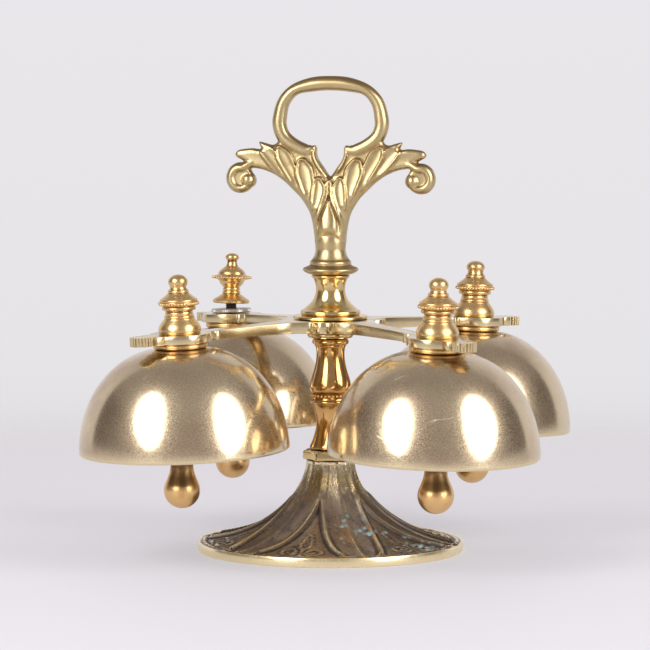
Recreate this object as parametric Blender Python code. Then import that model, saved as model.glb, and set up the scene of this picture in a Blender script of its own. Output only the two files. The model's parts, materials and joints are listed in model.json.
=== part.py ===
"""Sanctus bell: four dome bells under a cast cross, on a turned stem, lifted by a leaf handle.

Metres, +Z up. The part stands on Z = 0 with its stem on the Z axis. The handle lies in the
XZ plane, and the four arms point half way between the X and the Y axis.
"""
import math

import bmesh
import bpy
from mathutils import Matrix, Vector

MM = 0.001

# Clearances
SEAT_GAP = 0.3 * MM
BORE_GAP = 0.3 * MM

# Foot
FOOT_RADIUS = 59.4 * MM
FOOT_HEIGHT = 40.7 * MM
FOOT_NECK_RADIUS = 10.8 * MM
FOOT_RIM_HEIGHT = 4.3 * MM
FOOT_RING_WIDTH = 4.6 * MM
FOOT_WALL = 2.6 * MM
FOOT_CEILING = 8.0 * MM
FOOT_SWEEP = 0.6
FOOT_PANELS = 6
FOOT_PANEL_TURN = math.radians(25)
FOOT_PANEL_RISE = 0.80
FOOT_RELIEF = 0.7 * MM

# Hex collar
COLLAR_CORNER_RADIUS = 12.6 * MM
COLLAR_HEIGHT = 4.5 * MM
COLLAR_CHAMFER = 1.2 * MM
COLLAR_TURN = math.radians(9)

# Stem
STEM_HEIGHT = 49.4 * MM
STEM_FOOT_RADIUS = 9.4 * MM
STEM_LOWER_WAIST_RADIUS = 6.3 * MM
STEM_KNOP_RADIUS = 8.7 * MM
STEM_BEAD_RADIUS = 1.4 * MM
STEM_UPPER_WAIST_RADIUS = 6.2 * MM
STEM_COLLAR_RADIUS = 8.3 * MM
STEM_COLLAR_HEIGHT = 3.0 * MM

# Hub washer
HUB_WASHER_RADIUS = 10.4 * MM
HUB_WASHER_THICK = 3.0 * MM

# Cross spider
BELL_SPACING = 18.0 * MM
ARM_DROOP = math.radians(2.5)
HUB_THICK = 5.0 * MM
EYE_THICK = 3.8 * MM
EYE_RADIUS = 13.5 * MM
ARM_HALF_WIDTH = 4.3 * MM
CROTCH_REACH = 21.5 * MM
CROTCH_HALF_WIDTH = 6.2 * MM
LOBE_RADIUS = 4.75 * MM
LOBE_PROUD = 2.5 * MM
KNOB_RADIUS = 1.7 * MM
SHOULDER_HALF_WIDTH = 6.8 * MM
SHOULDER_LENGTH = 3.6 * MM
FAN_RADIUS = 4.9 * MM
FAN_RIBS = 7
FAN_RIB_DEPTH = 0.5 * MM

# Handle socket
SOCKET_HEIGHT = 19.6 * MM
SOCKET_FLANGE_RADIUS = 16.7 * MM
SOCKET_WAIST_RADIUS = 6.4 * MM
SOCKET_LIP_RADIUS = 8.6 * MM

# Handle
HANDLE_HEIGHT = 88.0 * MM
HANDLE_KNOP_RADIUS = 12.7 * MM
HANDLE_KNOP_HEIGHT = 3.4 * MM
HANDLE_WAIST_RADIUS = 7.25 * MM
HANDLE_NECK_HEIGHT = 24.0 * MM
HANDLE_NECK_RADIUS = 8.8 * MM
LOOP_HALF_WIDTH = 26.4 * MM
LOOP_BAR_WIDTH = 6.4 * MM
LOOP_BAR_DEPTH = 7.4 * MM
LOOP_CUSP_HEIGHT = 57.0 * MM
LOOP_CUSP_GAP = 12.6 * MM
NOTCH_HEIGHT = 43.4 * MM
SCROLL_REACH = 41.0 * MM
SCROLL_HEIGHT = 41.9 * MM
SCROLL_RADIUS = 7.1 * MM
SCROLL_DEPTH = 8.4 * MM
LEAF_ARM_HALF_WIDTH = 4.7 * MM
LEAF_ARM_TIP_HALF_WIDTH = 2.5 * MM
LEAF_DEPTH = 7.0 * MM
BUD_HALF_WIDTH = 4.6 * MM
BUD_PROUD = 0.4 * MM

# Handle leaves, outermost first: tip's reach, tip's height over the cusps, sideways bow, half width
LEAVES = [(43.0 * MM, -2.6 * MM, -1.2 * MM, 3.3 * MM), (32.2 * MM, 2.0 * MM, -1.4 * MM, 3.4 * MM),
          (21.7 * MM, 0.0 * MM, -1.2 * MM, 3.4 * MM), (13.9 * MM, -4.5 * MM, -1.4 * MM, 3.5 * MM),
          (2.9 * MM, -14.6 * MM, -1.8 * MM, 3.2 * MM)]

# Tie rod
TIE_ROD_RADIUS = 3.0 * MM
TIE_ROD_GRIP = 14.0 * MM
TIE_NUT_HEIGHT = 4.5 * MM
TIE_NUT_CORNER_RADIUS = 5.8 * MM
TIE_WASHER_RADIUS = 6.6 * MM
TIE_WASHER_THICK = 1.4 * MM
TIE_ROD_PROUD = 1.2 * MM

# Bells
BELL_RADIUS = 46.0 * MM
BELL_HEIGHT = 45.0 * MM
BELL_WALL = 2.0 * MM
BELL_CROWN_RADIUS = 8.0 * MM
BELL_WASHER_RADIUS = 12.0 * MM
BELL_WASHER_THICK = 2.0 * MM
BELL_NUT_CORNER_RADIUS = 5.2 * MM
BELL_NUT_HEIGHT = 3.2 * MM

# Studs
STUD_RADIUS = 2.6 * MM
STUD_HEAD_RADIUS = 4.0 * MM
STUD_HEAD_HEIGHT = 1.8 * MM
STUD_GRIP = 9.0 * MM

# Finials
FINIAL_BASE_RADIUS = 9.2 * MM
FINIAL_WAIST_RADIUS = 6.0 * MM
FINIAL_RING_RADIUS = 9.0 * MM
FINIAL_STEM_HEIGHT = 18.6 * MM
FINIAL_NECK_RADIUS = 2.8 * MM
FINIAL_BALL_RADIUS = 4.0 * MM
WORN_BALL_CUT = 1.6 * MM
ODD_FINIAL_BASE_RADIUS = 8.4 * MM
ODD_FINIAL_WAIST_RADIUS = 4.3 * MM
ODD_FINIAL_RING_RADIUS = 9.3 * MM
ODD_FINIAL_BALL_RADIUS = 3.1 * MM
STUD_NUT_RADIUS = 9.3 * MM
STUD_NUT_HEIGHT = 2.0 * MM
ODD_FINIAL_LIFT = 2.4 * MM

# Clappers
STIRRUP_THICK = 1.2 * MM
STIRRUP_WEB = 1.3 * MM
PIN_DROP = 4.0 * MM
PIN_RADIUS = 1.0 * MM
PIN_HEAD_RADIUS = 1.8 * MM
PIN_HEAD_THICK = 0.8 * MM
CLAPPER_EYE_RADIUS = 2.7 * MM
CLAPPER_LENGTH = 50.0 * MM
CLAPPER_BALL_RADIUS = 7.8 * MM
CLAPPER_NECK_RADIUS = 2.6 * MM

# Facets
BELL_SIDES = 24
STEM_SIDES = 16
FINIAL_SIDES = 12
SMALL_SIDES = 8

# Places worked out from the sizes above
ARM_TILT_SHIFT = math.sin(ARM_DROOP) * (EYE_THICK + BELL_WASHER_THICK + 2 * SEAT_GAP + BELL_HEIGHT)
ARM_REACH = (2 * BELL_RADIUS + BELL_SPACING) / math.sqrt(2) + ARM_TILT_SHIFT
COLLAR_BASE = FOOT_HEIGHT + SEAT_GAP
STEM_BASE = COLLAR_BASE + COLLAR_HEIGHT + SEAT_GAP
HUB_WASHER_BASE = STEM_BASE + STEM_HEIGHT + SEAT_GAP
SPIDER_BASE = HUB_WASHER_BASE + HUB_WASHER_THICK + SEAT_GAP
SPIDER_TOP = SPIDER_BASE + HUB_THICK
SOCKET_BASE = SPIDER_TOP + SEAT_GAP
HANDLE_BASE = SOCKET_BASE + SOCKET_HEIGHT + SEAT_GAP
TIE_ROD_TOP = HANDLE_BASE + TIE_ROD_GRIP
TIE_BORE_RADIUS = TIE_ROD_RADIUS + BORE_GAP
STUD_BORE_RADIUS = STUD_RADIUS + BORE_GAP
BELL_WASHER_TOP = -EYE_THICK - SEAT_GAP
BELL_TOP = BELL_WASHER_TOP - BELL_WASHER_THICK - SEAT_GAP
BELL_NUT_TOP = BELL_TOP - BELL_WALL - SEAT_GAP
STIRRUP_TOP = BELL_NUT_TOP - BELL_NUT_HEIGHT - SEAT_GAP
STUD_HEAD_TOP = STIRRUP_TOP - STIRRUP_THICK - SEAT_GAP
PIN_LEVEL = STUD_HEAD_TOP - STUD_HEAD_HEIGHT - PIN_DROP
STIRRUP_HALF_SPAN = STUD_HEAD_RADIUS + 2 * SEAT_GAP
STATIONS = {"front_right": -45, "back_right": 45, "back_left": 135, "front_left": 225}


def make_material(name, colour, roughness, metallic=1.0):
    """A Principled material of one colour."""
    material = bpy.data.materials.new(name)
    material.use_nodes = True
    material.diffuse_color = (*colour, 1.0)
    shader = material.node_tree.nodes["Principled BSDF"]
    shader.inputs["Base Color"].default_value = (*colour, 1.0)
    shader.inputs["Roughness"].default_value = roughness
    shader.inputs["Metallic"].default_value = metallic
    return material


def place(name, bm, material, parent=None, location=(0, 0, 0), rotation=(0, 0, 0)):
    """Turn a bmesh into a named object, shaded smooth between its sharp edges."""
    bmesh.ops.recalc_face_normals(bm, faces=bm.faces)
    mesh = bpy.data.meshes.new(name)
    bm.to_mesh(mesh)
    bm.free()
    mesh.shade_smooth()
    mesh.set_sharp_from_angle(angle=math.radians(35))
    mesh.materials.append(material)
    piece = bpy.data.objects.new(name, mesh)
    bpy.context.scene.collection.objects.link(piece)
    piece.parent = parent
    piece.location = location
    piece.rotation_euler = rotation
    return piece


def combine(piece, tool_bm, operation):
    """Join a tool shape to a piece, or cut it out, with an exact Boolean."""
    tool = place("tool", tool_bm, piece.data.materials[0], piece.parent, piece.location, piece.rotation_euler)
    tool.hide_render = True
    tool.display_type = "WIRE"
    boolean = piece.modifiers.new(operation.title(), "BOOLEAN")
    boolean.solver = "EXACT"
    boolean.operation = operation
    boolean.object = tool
    depsgraph = bpy.context.evaluated_depsgraph_get()
    result = bpy.data.meshes.new_from_object(piece.evaluated_get(depsgraph))
    result.name = piece.name
    piece.modifiers.remove(boolean)
    piece.data = result
    bpy.data.objects.remove(tool)


def spline(points, steps):
    """A smooth curve through the points (Catmull-Rom), as tuples of the same length."""
    path = [Vector(p) for p in points]
    path = [2 * path[0] - path[1]] + path + [2 * path[-1] - path[-2]]
    curve = []
    for before, start, end, after in zip(path, path[1:], path[2:], path[3:]):
        for i in range(steps):
            t = i / steps
            curve.append(tuple(0.5 * (2 * start + (end - before) * t
                                      + (2 * before - 5 * start + 4 * end - after) * t ** 2
                                      + (3 * start - before - 3 * end + after) * t ** 3)))
    return curve + [tuple(path[-2])]


def arc(centre, radius, start, end, steps):
    """Points on a circle in the plane, angles in degrees."""
    angles = [math.radians(start + (end - start) * i / steps) for i in range(steps + 1)]
    return [(centre[0] + radius * math.cos(a), centre[1] + radius * math.sin(a)) for a in angles]


def turned(outline, sides, closed=True):
    """Spin an outline of (radius, height) points about Z. An open one ends on the axis."""
    bm = bmesh.new()
    verts = [bm.verts.new((radius, 0, height)) for radius, height in outline]
    pairs = list(zip(verts, verts[1:])) + ([(verts[-1], verts[0])] if closed else [])
    edges = [bm.edges.new(pair) for pair in pairs]
    bmesh.ops.spin(bm, geom=verts + edges, axis=(0, 0, 1), cent=(0, 0, 0),
                   angle=math.tau, steps=sides, use_merge=True)
    bmesh.ops.remove_doubles(bm, verts=bm.verts, dist=0.001 * MM)
    return bm


def bored(outline, bore):
    """Close a turned outline with a straight bore on its axis."""
    return outline + [(bore, outline[-1][1]), (bore, outline[0][1])]


def prism(corners, low, high):
    """Extrude a flat polygon along Z."""
    bm = bmesh.new()
    face = bm.faces.new([bm.verts.new((x, y, low)) for x, y in corners])
    top = bmesh.ops.extrude_face_region(bm, geom=[face])["geom"]
    raised = [item for item in top if isinstance(item, bmesh.types.BMVert)]
    bmesh.ops.translate(bm, verts=raised, vec=(0, 0, high - low))
    return bm


def hexagon(radius):
    """Six corners, one of them on the X axis."""
    return arc((0, 0), radius, 0, 300, 5)


def rod(radius, low, high, sides=SMALL_SIDES):
    """A plain cylinder on the Z axis."""
    return turned([(0, low), (radius, low), (radius, high), (0, high)], sides, closed=False)


def cross_rod(radius, half_length, level, sides=SMALL_SIDES):
    """A plain cylinder along Y at a height."""
    bm = rod(radius, -half_length, half_length, sides)
    bm.transform(Matrix.Translation((0, 0, level)) @ Matrix.Rotation(math.pi / 2, 4, "X"))
    return bm


def loft(sections, closed=False):
    """Skin a row of equal cross-sections, with flat ends unless the row closes on itself."""
    bm = bmesh.new()
    rings = [[bm.verts.new(point) for point in section] for section in sections]
    count = len(rings[0])
    for ring, following in zip(rings, rings[1:] + rings[:1] if closed else rings[1:]):
        for i in range(count):
            j = (i + 1) % count
            bm.faces.new((ring[i], ring[j], following[j], following[i]))
    if not closed:
        bm.faces.new(rings[0])
        bm.faces.new(rings[-1])
    return bm


def strap(path, sides, closed=False):
    """Loft ellipses along a path in XZ, given as (x, z, half width in the plane, half depth)."""
    sections = []
    for i, (x, z, half_width, half_depth) in enumerate(path):
        before = path[i - 1] if closed or i else path[0]
        after = path[(i + 1) % len(path)] if closed or i + 1 < len(path) else path[-1]
        run = Vector((after[0] - before[0], after[1] - before[1])).normalized()
        sections.append([])
        for k in range(sides):
            across = half_width * math.cos(math.tau * k / sides)
            depth = half_depth * math.sin(math.tau * k / sides)
            sections[-1].append((x - run.y * across, depth, z + run.x * across))
    return loft(sections, closed)


def mirrored(bm):
    """A copy of a shape on the other side of the YZ plane."""
    twin = bm.copy()
    twin.transform(Matrix.Scale(-1, 4, (1, 0, 0)))
    return twin


def trumpet(steps):
    """The foot's swept profile, from the rim up to the neck, as (radius, height, share of sweep)."""
    spread = FOOT_RADIUS - FOOT_NECK_RADIUS
    rise = FOOT_HEIGHT - FOOT_RIM_HEIGHT
    power = 2 / FOOT_SWEEP
    profile = []
    for i in range(steps + 1):
        angle = math.pi / 2 * i / steps
        profile.append((FOOT_NECK_RADIUS + spread * math.cos(angle) ** power,
                        FOOT_RIM_HEIGHT + rise * math.sin(angle) ** power, i / steps))
    return profile


def panel_columns(share):
    """Angles and relief of one foot panel's columns, at a share of the sweep above the rim."""
    half = math.pi / FOOT_PANELS
    opening = half * (0.12 + 0.68 * max(0.0, 1 - share / FOOT_PANEL_RISE) ** 0.75)
    swell = FOOT_RELIEF * math.sin(math.pi * min(1.0, 0.12 + share)) ** 0.7
    ground = [(column * opening, -0.4 * swell) for column in (-0.6, -0.2, 0.2, 0.6)]
    return [(-opening, swell)] + ground + [(opening, swell), (half, -0.2 * swell)]


def make_foot(material):
    """Hollow cast foot with pointed leaf panels between raised stalks, and a plain rim."""
    profile = trumpet(9)
    rings = []
    for i, (radius, height, share) in enumerate(profile):
        before, after = profile[max(0, i - 1)], profile[min(len(profile) - 1, i + 1)]
        run = Vector((after[0] - before[0], after[1] - before[1])).normalized()
        edge = i in (0, len(profile) - 1)
        ring = []
        for panel in range(FOOT_PANELS):
            for angle, relief in panel_columns(share):
                turn = FOOT_PANEL_TURN + angle + math.tau * panel / FOOT_PANELS
                lift = 0.0 if edge else relief
                ring.append((radius + lift * run.y, height - lift * run.x, turn))
        rings.append(ring)
    rim_turns = [turn for _, _, turn in rings[0]]
    turns = [rim_turns[0] + math.tau * k / len(rim_turns) for k in range(len(rim_turns))]
    cavity = []
    ceiling = FOOT_HEIGHT - FOOT_CEILING
    inner_radius = FOOT_RADIUS - FOOT_RING_WIDTH
    for (r0, z0, _), (r1, z1, _) in zip(profile, profile[1:]):
        run = Vector((r1 - r0, z1 - z0)).normalized()
        radius = (r0 + r1) / 2 - FOOT_WALL * run.y
        height = (z0 + z1) / 2 + FOOT_WALL * run.x
        if radius < inner_radius and height < ceiling:
            cavity.append((radius, height))
    cavity = [(inner_radius, 0.0)] + cavity[::2] + [(cavity[-1][0], ceiling)]
    bore = [(TIE_BORE_RADIUS, ceiling), (TIE_BORE_RADIUS, FOOT_HEIGHT)]
    loops = [[(FOOT_RADIUS, 0.0, turn) for turn in rim_turns]] + rings
    loops += [[(radius, height, turn) for turn in turns] for radius, height in bore[::-1]]
    loops += [[(radius, height, turn) for turn in turns] for radius, height in cavity[::-1]]
    sections = [[(r * math.cos(a), r * math.sin(a), z) for r, z, a in loop] for loop in loops]
    return place("foot", loft(sections, closed=True), material)


def make_collar(material):
    """Six-sided collar with a chamfered top."""
    piece = place("hex_collar", prism(hexagon(COLLAR_CORNER_RADIUS), 0, COLLAR_HEIGHT), material,
                  location=(0, 0, COLLAR_BASE), rotation=(0, 0, COLLAR_TURN))
    edge = COLLAR_HEIGHT - COLLAR_CHAMFER
    over = COLLAR_HEIGHT + COLLAR_CHAMFER
    under = edge - COLLAR_CORNER_RADIUS
    bevel_cone = turned([(0, under), (2 * COLLAR_CORNER_RADIUS, under), (COLLAR_CORNER_RADIUS, edge),
                         (COLLAR_CORNER_RADIUS - 2 * COLLAR_CHAMFER, over), (0, over)],
                        STEM_SIDES, closed=False)
    combine(piece, bevel_cone, "INTERSECT")
    combine(piece, rod(TIE_BORE_RADIUS, -COLLAR_HEIGHT, 2 * COLLAR_HEIGHT), "DIFFERENCE")


def make_stem(material):
    """Turned baluster: flared foot, lower waist, beaded knop, upper waist and top collar."""
    shoulder = STEM_HEIGHT - STEM_COLLAR_HEIGHT
    knop = 0.485 * STEM_HEIGHT
    lower = spline([(STEM_FOOT_RADIUS, 0.05 * STEM_HEIGHT), (0.86 * STEM_FOOT_RADIUS, 0.10 * STEM_HEIGHT),
                    (STEM_LOWER_WAIST_RADIUS, 0.24 * STEM_HEIGHT),
                    (1.07 * STEM_LOWER_WAIST_RADIUS, 0.38 * STEM_HEIGHT),
                    (STEM_KNOP_RADIUS, knop - 1.6 * STEM_BEAD_RADIUS)], 2)
    bead = arc((STEM_KNOP_RADIUS - 0.5 * STEM_BEAD_RADIUS, knop), STEM_BEAD_RADIUS, -60, 60, 3)
    upper = spline([(STEM_KNOP_RADIUS, knop + 1.6 * STEM_BEAD_RADIUS),
                    (0.85 * STEM_KNOP_RADIUS, 0.64 * STEM_HEIGHT),
                    (STEM_UPPER_WAIST_RADIUS, 0.82 * STEM_HEIGHT),
                    (1.06 * STEM_UPPER_WAIST_RADIUS, 0.9 * STEM_HEIGHT),
                    (0.5 * (STEM_UPPER_WAIST_RADIUS + STEM_COLLAR_RADIUS), shoulder)], 2)
    collar = arc((STEM_COLLAR_RADIUS - 0.5 * STEM_COLLAR_HEIGHT, shoulder + 0.5 * STEM_COLLAR_HEIGHT),
                 0.5 * STEM_COLLAR_HEIGHT, -80, 90, 3)
    outline = [(STEM_FOOT_RADIUS, 0)] + lower + bead + upper + collar
    place("stem", turned(bored(outline, TIE_BORE_RADIUS), STEM_SIDES), material,
          location=(0, 0, STEM_BASE))


def make_washer(name, radius, bore, thick, material, parent=None, level=0.0, sides=STEM_SIDES):
    """A flat ring whose underside is at a level."""
    outline = bored([(radius, 0), (radius, thick)], bore)
    return place(name, turned(outline, sides), material, parent, (0, 0, level))


def arm_edge():
    """One side of an arm from the crotch lobe to the fan tip, as hub, arm and eye runs of points."""
    turn = math.sqrt(0.5)

    def from_bisector(along, across):
        return ((along + across) * turn, (along - across) * turn)

    lobe_centre = CROTCH_REACH + LOBE_PROUD - LOBE_RADIUS
    hub = [from_bisector(*p) for p in arc((lobe_centre, 0), LOBE_RADIUS, 0, 80, 3)]
    root = from_bisector(CROTCH_REACH, CROTCH_HALF_WIDTH)
    eye_mouth = 1.2 * ARM_HALF_WIDTH
    eye_start = ARM_REACH - math.sqrt(EYE_RADIUS ** 2 - eye_mouth ** 2)
    knob = (eye_start - 1.7 * KNOB_RADIUS, ARM_HALF_WIDTH + 0.6 * KNOB_RADIUS)
    slim = 0.5 * (root[0] + knob[0])
    edge = spline([root, (root[0] + 0.3 * (slim - root[0]), 0.58 * root[1]),
                   (slim, 1.1 * ARM_HALF_WIDTH), (knob[0] - 1.2 * KNOB_RADIUS, ARM_HALF_WIDTH)], 2)
    arm = edge + arc(knob, KNOB_RADIUS, 150, 15, 3) + [(eye_start, eye_mouth)]
    lug_mouth = 0.8 * SHOULDER_HALF_WIDTH
    lug_angle = math.degrees(math.asin(lug_mouth / EYE_RADIUS))
    mouth_angle = math.degrees(math.asin(eye_mouth / EYE_RADIUS))
    eye = arc((ARM_REACH, 0), EYE_RADIUS, 180 - mouth_angle, lug_angle, 7)
    shoulder = ARM_REACH + EYE_RADIUS * math.cos(math.radians(lug_angle))
    fan_start = shoulder + SHOULDER_LENGTH
    fan_centre = (fan_start + 0.72 * FAN_RADIUS, 0)
    eye += [(shoulder, SHOULDER_HALF_WIDTH), (fan_start, SHOULDER_HALF_WIDTH)]
    sweep = 132.0
    for i in range(FAN_RIBS, -1, -1):
        dip = FAN_RIB_DEPTH if i % 2 else 0.0
        eye += arc(fan_centre, FAN_RADIUS - dip, sweep * i / FAN_RIBS, 0, 1)[:1]
    return hub, [root] + arm[1:], eye[1:]


def make_spider(material):
    """Flat cast cross: lobed hub, four drooping arms, round eyes and fan lugs."""
    bm = bmesh.new()
    hub, arm, eye = arm_edge()
    bend = arm[0][0]
    seat = arm[-1][0]
    slope = math.tan(ARM_DROOP)

    def corner(along, across, angle, top):
        """A vertex at a place on one arm, on its top or its underside."""
        share = min(1.0, max(0.0, (along - bend) / (seat - bend)))
        thick = HUB_THICK + (EYE_THICK / math.cos(ARM_DROOP) - HUB_THICK) * share
        level = SPIDER_TOP - slope * max(0.0, along - bend) - (0 if top else thick)
        x = along * math.cos(angle) - across * math.sin(angle)
        y = along * math.sin(angle) + across * math.cos(angle)
        return bm.verts.new((x, y, level))

    outer = [[], []]
    for degrees in STATIONS.values():
        angle = math.radians(degrees)
        for top, rim in enumerate(outer):
            left = [corner(*p, angle, top) for p in arm]
            right = [corner(t, -s, angle, top) for t, s in arm]
            tip = [corner(*p, angle, top) for p in eye]
            far = [corner(t, -s, angle, top) for t, s in eye[:-1]]
            lobe = [corner(*p, angle, top) for p in hub[::-1]]
            bm.faces.new(left + right[::-1])
            bm.faces.new([left[-1]] + tip + far[::-1] + [right[-1]])
            back = [corner(t, -s, angle, top) for t, s in hub[1:]]
            rim.append((back + right + far + tip[::-1] + left[::-1] + lobe, left[0], right[0], lobe, back))
    for side in outer:
        ring = []
        for _, left, right, lobe, back in side:
            ring += back + [right, left] + lobe
        bm.faces.new(ring)
    lower, upper = [sum((entry[0] for entry in side), []) for side in outer]
    for i in range(len(lower)):
        j = (i + 1) % len(lower)
        bm.faces.new((lower[i], lower[j], upper[j], upper[i]))
    piece = place("cross_spider", bm, material)
    combine(piece, rod(TIE_BORE_RADIUS, SPIDER_BASE - HUB_THICK, SPIDER_TOP + HUB_THICK), "DIFFERENCE")
    for degrees in STATIONS.values():
        drill = rod(STUD_BORE_RADIUS, -2 * HUB_THICK, 2 * HUB_THICK)
        drill.transform(station_frame(degrees))
        combine(piece, drill, "DIFFERENCE")


def station_frame(degrees):
    """The frame on an eye: origin on its top face, X outwards, Z square to the drooping arm."""
    bend = arm_edge()[1][0][0]
    return (Matrix.Rotation(math.radians(degrees), 4, "Z") @ Matrix.Translation((bend, 0, SPIDER_TOP))
            @ Matrix.Rotation(ARM_DROOP, 4, "Y")
            @ Matrix.Translation(((ARM_REACH - bend) / math.cos(ARM_DROOP), 0, 0)))


def make_socket(material):
    """Turned socket: stepped flange on the cross, waist and flared lip under the handle."""
    flare = [(0.9 * SOCKET_FLANGE_RADIUS, 0.13 * SOCKET_HEIGHT),
             (0.76 * SOCKET_FLANGE_RADIUS, 0.25 * SOCKET_HEIGHT),
             (0.56 * SOCKET_FLANGE_RADIUS, 0.36 * SOCKET_HEIGHT),
             (1.1 * SOCKET_WAIST_RADIUS, 0.50 * SOCKET_HEIGHT), (SOCKET_WAIST_RADIUS, 0.68 * SOCKET_HEIGHT),
             (0.82 * SOCKET_LIP_RADIUS, 0.86 * SOCKET_HEIGHT), (SOCKET_LIP_RADIUS, 0.96 * SOCKET_HEIGHT)]
    outline = [(SOCKET_FLANGE_RADIUS, 0), (SOCKET_FLANGE_RADIUS, 0.05 * SOCKET_HEIGHT)] + flare
    outline += [(SOCKET_LIP_RADIUS, SOCKET_HEIGHT)]
    place("handle_socket", turned(bored(outline, TIE_BORE_RADIUS), STEM_SIDES), material,
          location=(0, 0, SOCKET_BASE))


def handle_neck():
    """Ring knop and round waist at the bottom of the handle, bored for the tie rod."""
    knop = arc((HANDLE_KNOP_RADIUS - 0.5 * HANDLE_KNOP_HEIGHT, 0.5 * HANDLE_KNOP_HEIGHT),
               0.5 * HANDLE_KNOP_HEIGHT, -90, 90, 4)
    waist = spline([(1.25 * HANDLE_WAIST_RADIUS, 1.2 * HANDLE_KNOP_HEIGHT),
                    (1.1 * HANDLE_WAIST_RADIUS, 0.32 * HANDLE_NECK_HEIGHT),
                    (HANDLE_WAIST_RADIUS, 0.58 * HANDLE_NECK_HEIGHT),
                    (1.05 * HANDLE_WAIST_RADIUS, 0.75 * HANDLE_NECK_HEIGHT),
                    (HANDLE_NECK_RADIUS, HANDLE_NECK_HEIGHT)], 2)
    blind = TIE_ROD_GRIP + SEAT_GAP
    outline = [(0, blind), (TIE_BORE_RADIUS, blind), (TIE_BORE_RADIUS, 0)] + knop + waist
    outline += [(0.6 * HANDLE_NECK_RADIUS, 1.2 * HANDLE_NECK_HEIGHT), (0, 1.25 * HANDLE_NECK_HEIGHT)]
    return turned(outline, STEM_SIDES, closed=False)


def handle_loop():
    """The open loop's bar, from one cusp over the top to the other."""
    half_bar = LOOP_BAR_WIDTH / 2
    reach = LOOP_HALF_WIDTH - half_bar
    low = LOOP_CUSP_HEIGHT - 0.75 * half_bar
    rise = HANDLE_HEIGHT - half_bar - low
    cusp = LOOP_CUSP_GAP / 2 + 0.9 * half_bar
    side = [(0.42, 0.985), (0.79, 0.87), (0.985, 0.56), (0.93, 0.26), (0.70, 0.07)]
    right = [(share * reach, low + lift * rise) for share, lift in side] + [(cusp, low)]
    path = [(-x, z) for x, z in right[::-1]] + [(0.0, low + rise)] + right
    half_depth = LOOP_BAR_DEPTH / 2
    bar = [(x, z, half_bar, half_depth) for x, z in spline(path, 2)]
    return strap(bar, 8)


def arm_path():
    """Centre line of one leaf arm, from the waist out to the top of its scroll."""
    low = 0.9 * HANDLE_NECK_HEIGHT
    rise = SCROLL_HEIGHT + SCROLL_RADIUS * 0.95 - low
    shares = [(0.07, 0.0), (0.15, 0.37), (0.35, 0.77), (0.57, 0.97), (0.75, 1.04), (0.89, 1.02)]
    return [(share * SCROLL_REACH, low + lift * rise) for share, lift in shares]


def handle_arm():
    """One leaf arm: a tapering strap that curls once round its scroll."""
    band = 0.30 * SCROLL_RADIUS
    centre_line = spline(arm_path(), 2)
    path = []
    for i, (x, z) in enumerate(centre_line):
        share = (i / (len(centre_line) - 1)) ** 2
        half_width = LEAF_ARM_HALF_WIDTH + (LEAF_ARM_TIP_HALF_WIDTH - LEAF_ARM_HALF_WIDTH) * share
        path.append((x, z, half_width, LEAF_DEPTH / 2))
    turn = SCROLL_RADIUS - band
    for i in range(1, 10):
        angle = math.radians(100 - 32 * i)
        ring = turn * (1 - 0.012 * i)
        path.append((SCROLL_REACH + ring * math.cos(angle), SCROLL_HEIGHT + ring * math.sin(angle),
                     band * (1 - 0.02 * i), SCROLL_DEPTH / 2 * (1 - 0.02 * i)))
    return strap(path, 6)


def handle_scroll_eye():
    """The button in the middle of a scroll."""
    radius = 0.55 * SCROLL_RADIUS
    dome = arc((0, 0), 1.0, -90, 90, 4)
    eye = turned([(radius * r, 0.56 * SCROLL_DEPTH * z) for r, z in dome], SMALL_SIDES, closed=False)
    centre = Matrix.Translation((SCROLL_REACH, 0, SCROLL_HEIGHT))
    eye.transform(centre @ Matrix.Rotation(math.pi / 2, 4, "X"))
    return eye


def handle_leaf(root, tip, bow, half_width, half_depth):
    """One pointed leaf from root to tip, bowed sideways, in the handle's plane."""
    root, tip = Vector(root), Vector(tip)
    side = Vector((-(tip - root).y, (tip - root).x)).normalized() * bow
    path = []
    for i in range(5):
        share = i / 4
        swell = math.sin(math.pi * (0.12 + 0.80 * share)) ** 0.7
        point = root.lerp(tip, share) + side * math.sin(math.pi * share)
        path.append((point.x, point.y, half_width * swell, half_depth * (0.55 + 0.45 * swell)))
    return strap(path, 6)


def handle_web():
    """Plate behind the leaves, cut by the pointed notch between the two cusps."""
    half_gap = LOOP_CUSP_GAP / 2
    rise = LOOP_CUSP_HEIGHT - NOTCH_HEIGHT
    notch = spline([(half_gap, LOOP_CUSP_HEIGHT), (1.02 * half_gap, NOTCH_HEIGHT + 0.66 * rise),
                    (0.62 * half_gap, NOTCH_HEIGHT + 0.3 * rise), (0, NOTCH_HEIGHT)], 2)
    outer = [(point[0], point[1]) for point in arm_path()[3::-1]]
    side = notch[::-1] + [(0.75 * LOOP_HALF_WIDTH, LOOP_CUSP_HEIGHT)] + outer
    corners = side + [(-x, z) for x, z in side[:0:-1]]
    half_depth = 0.32 * LEAF_DEPTH
    plate = prism(corners, -half_depth, half_depth)
    plate.transform(Matrix.Rotation(math.pi / 2, 4, "X"))
    return plate


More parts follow.
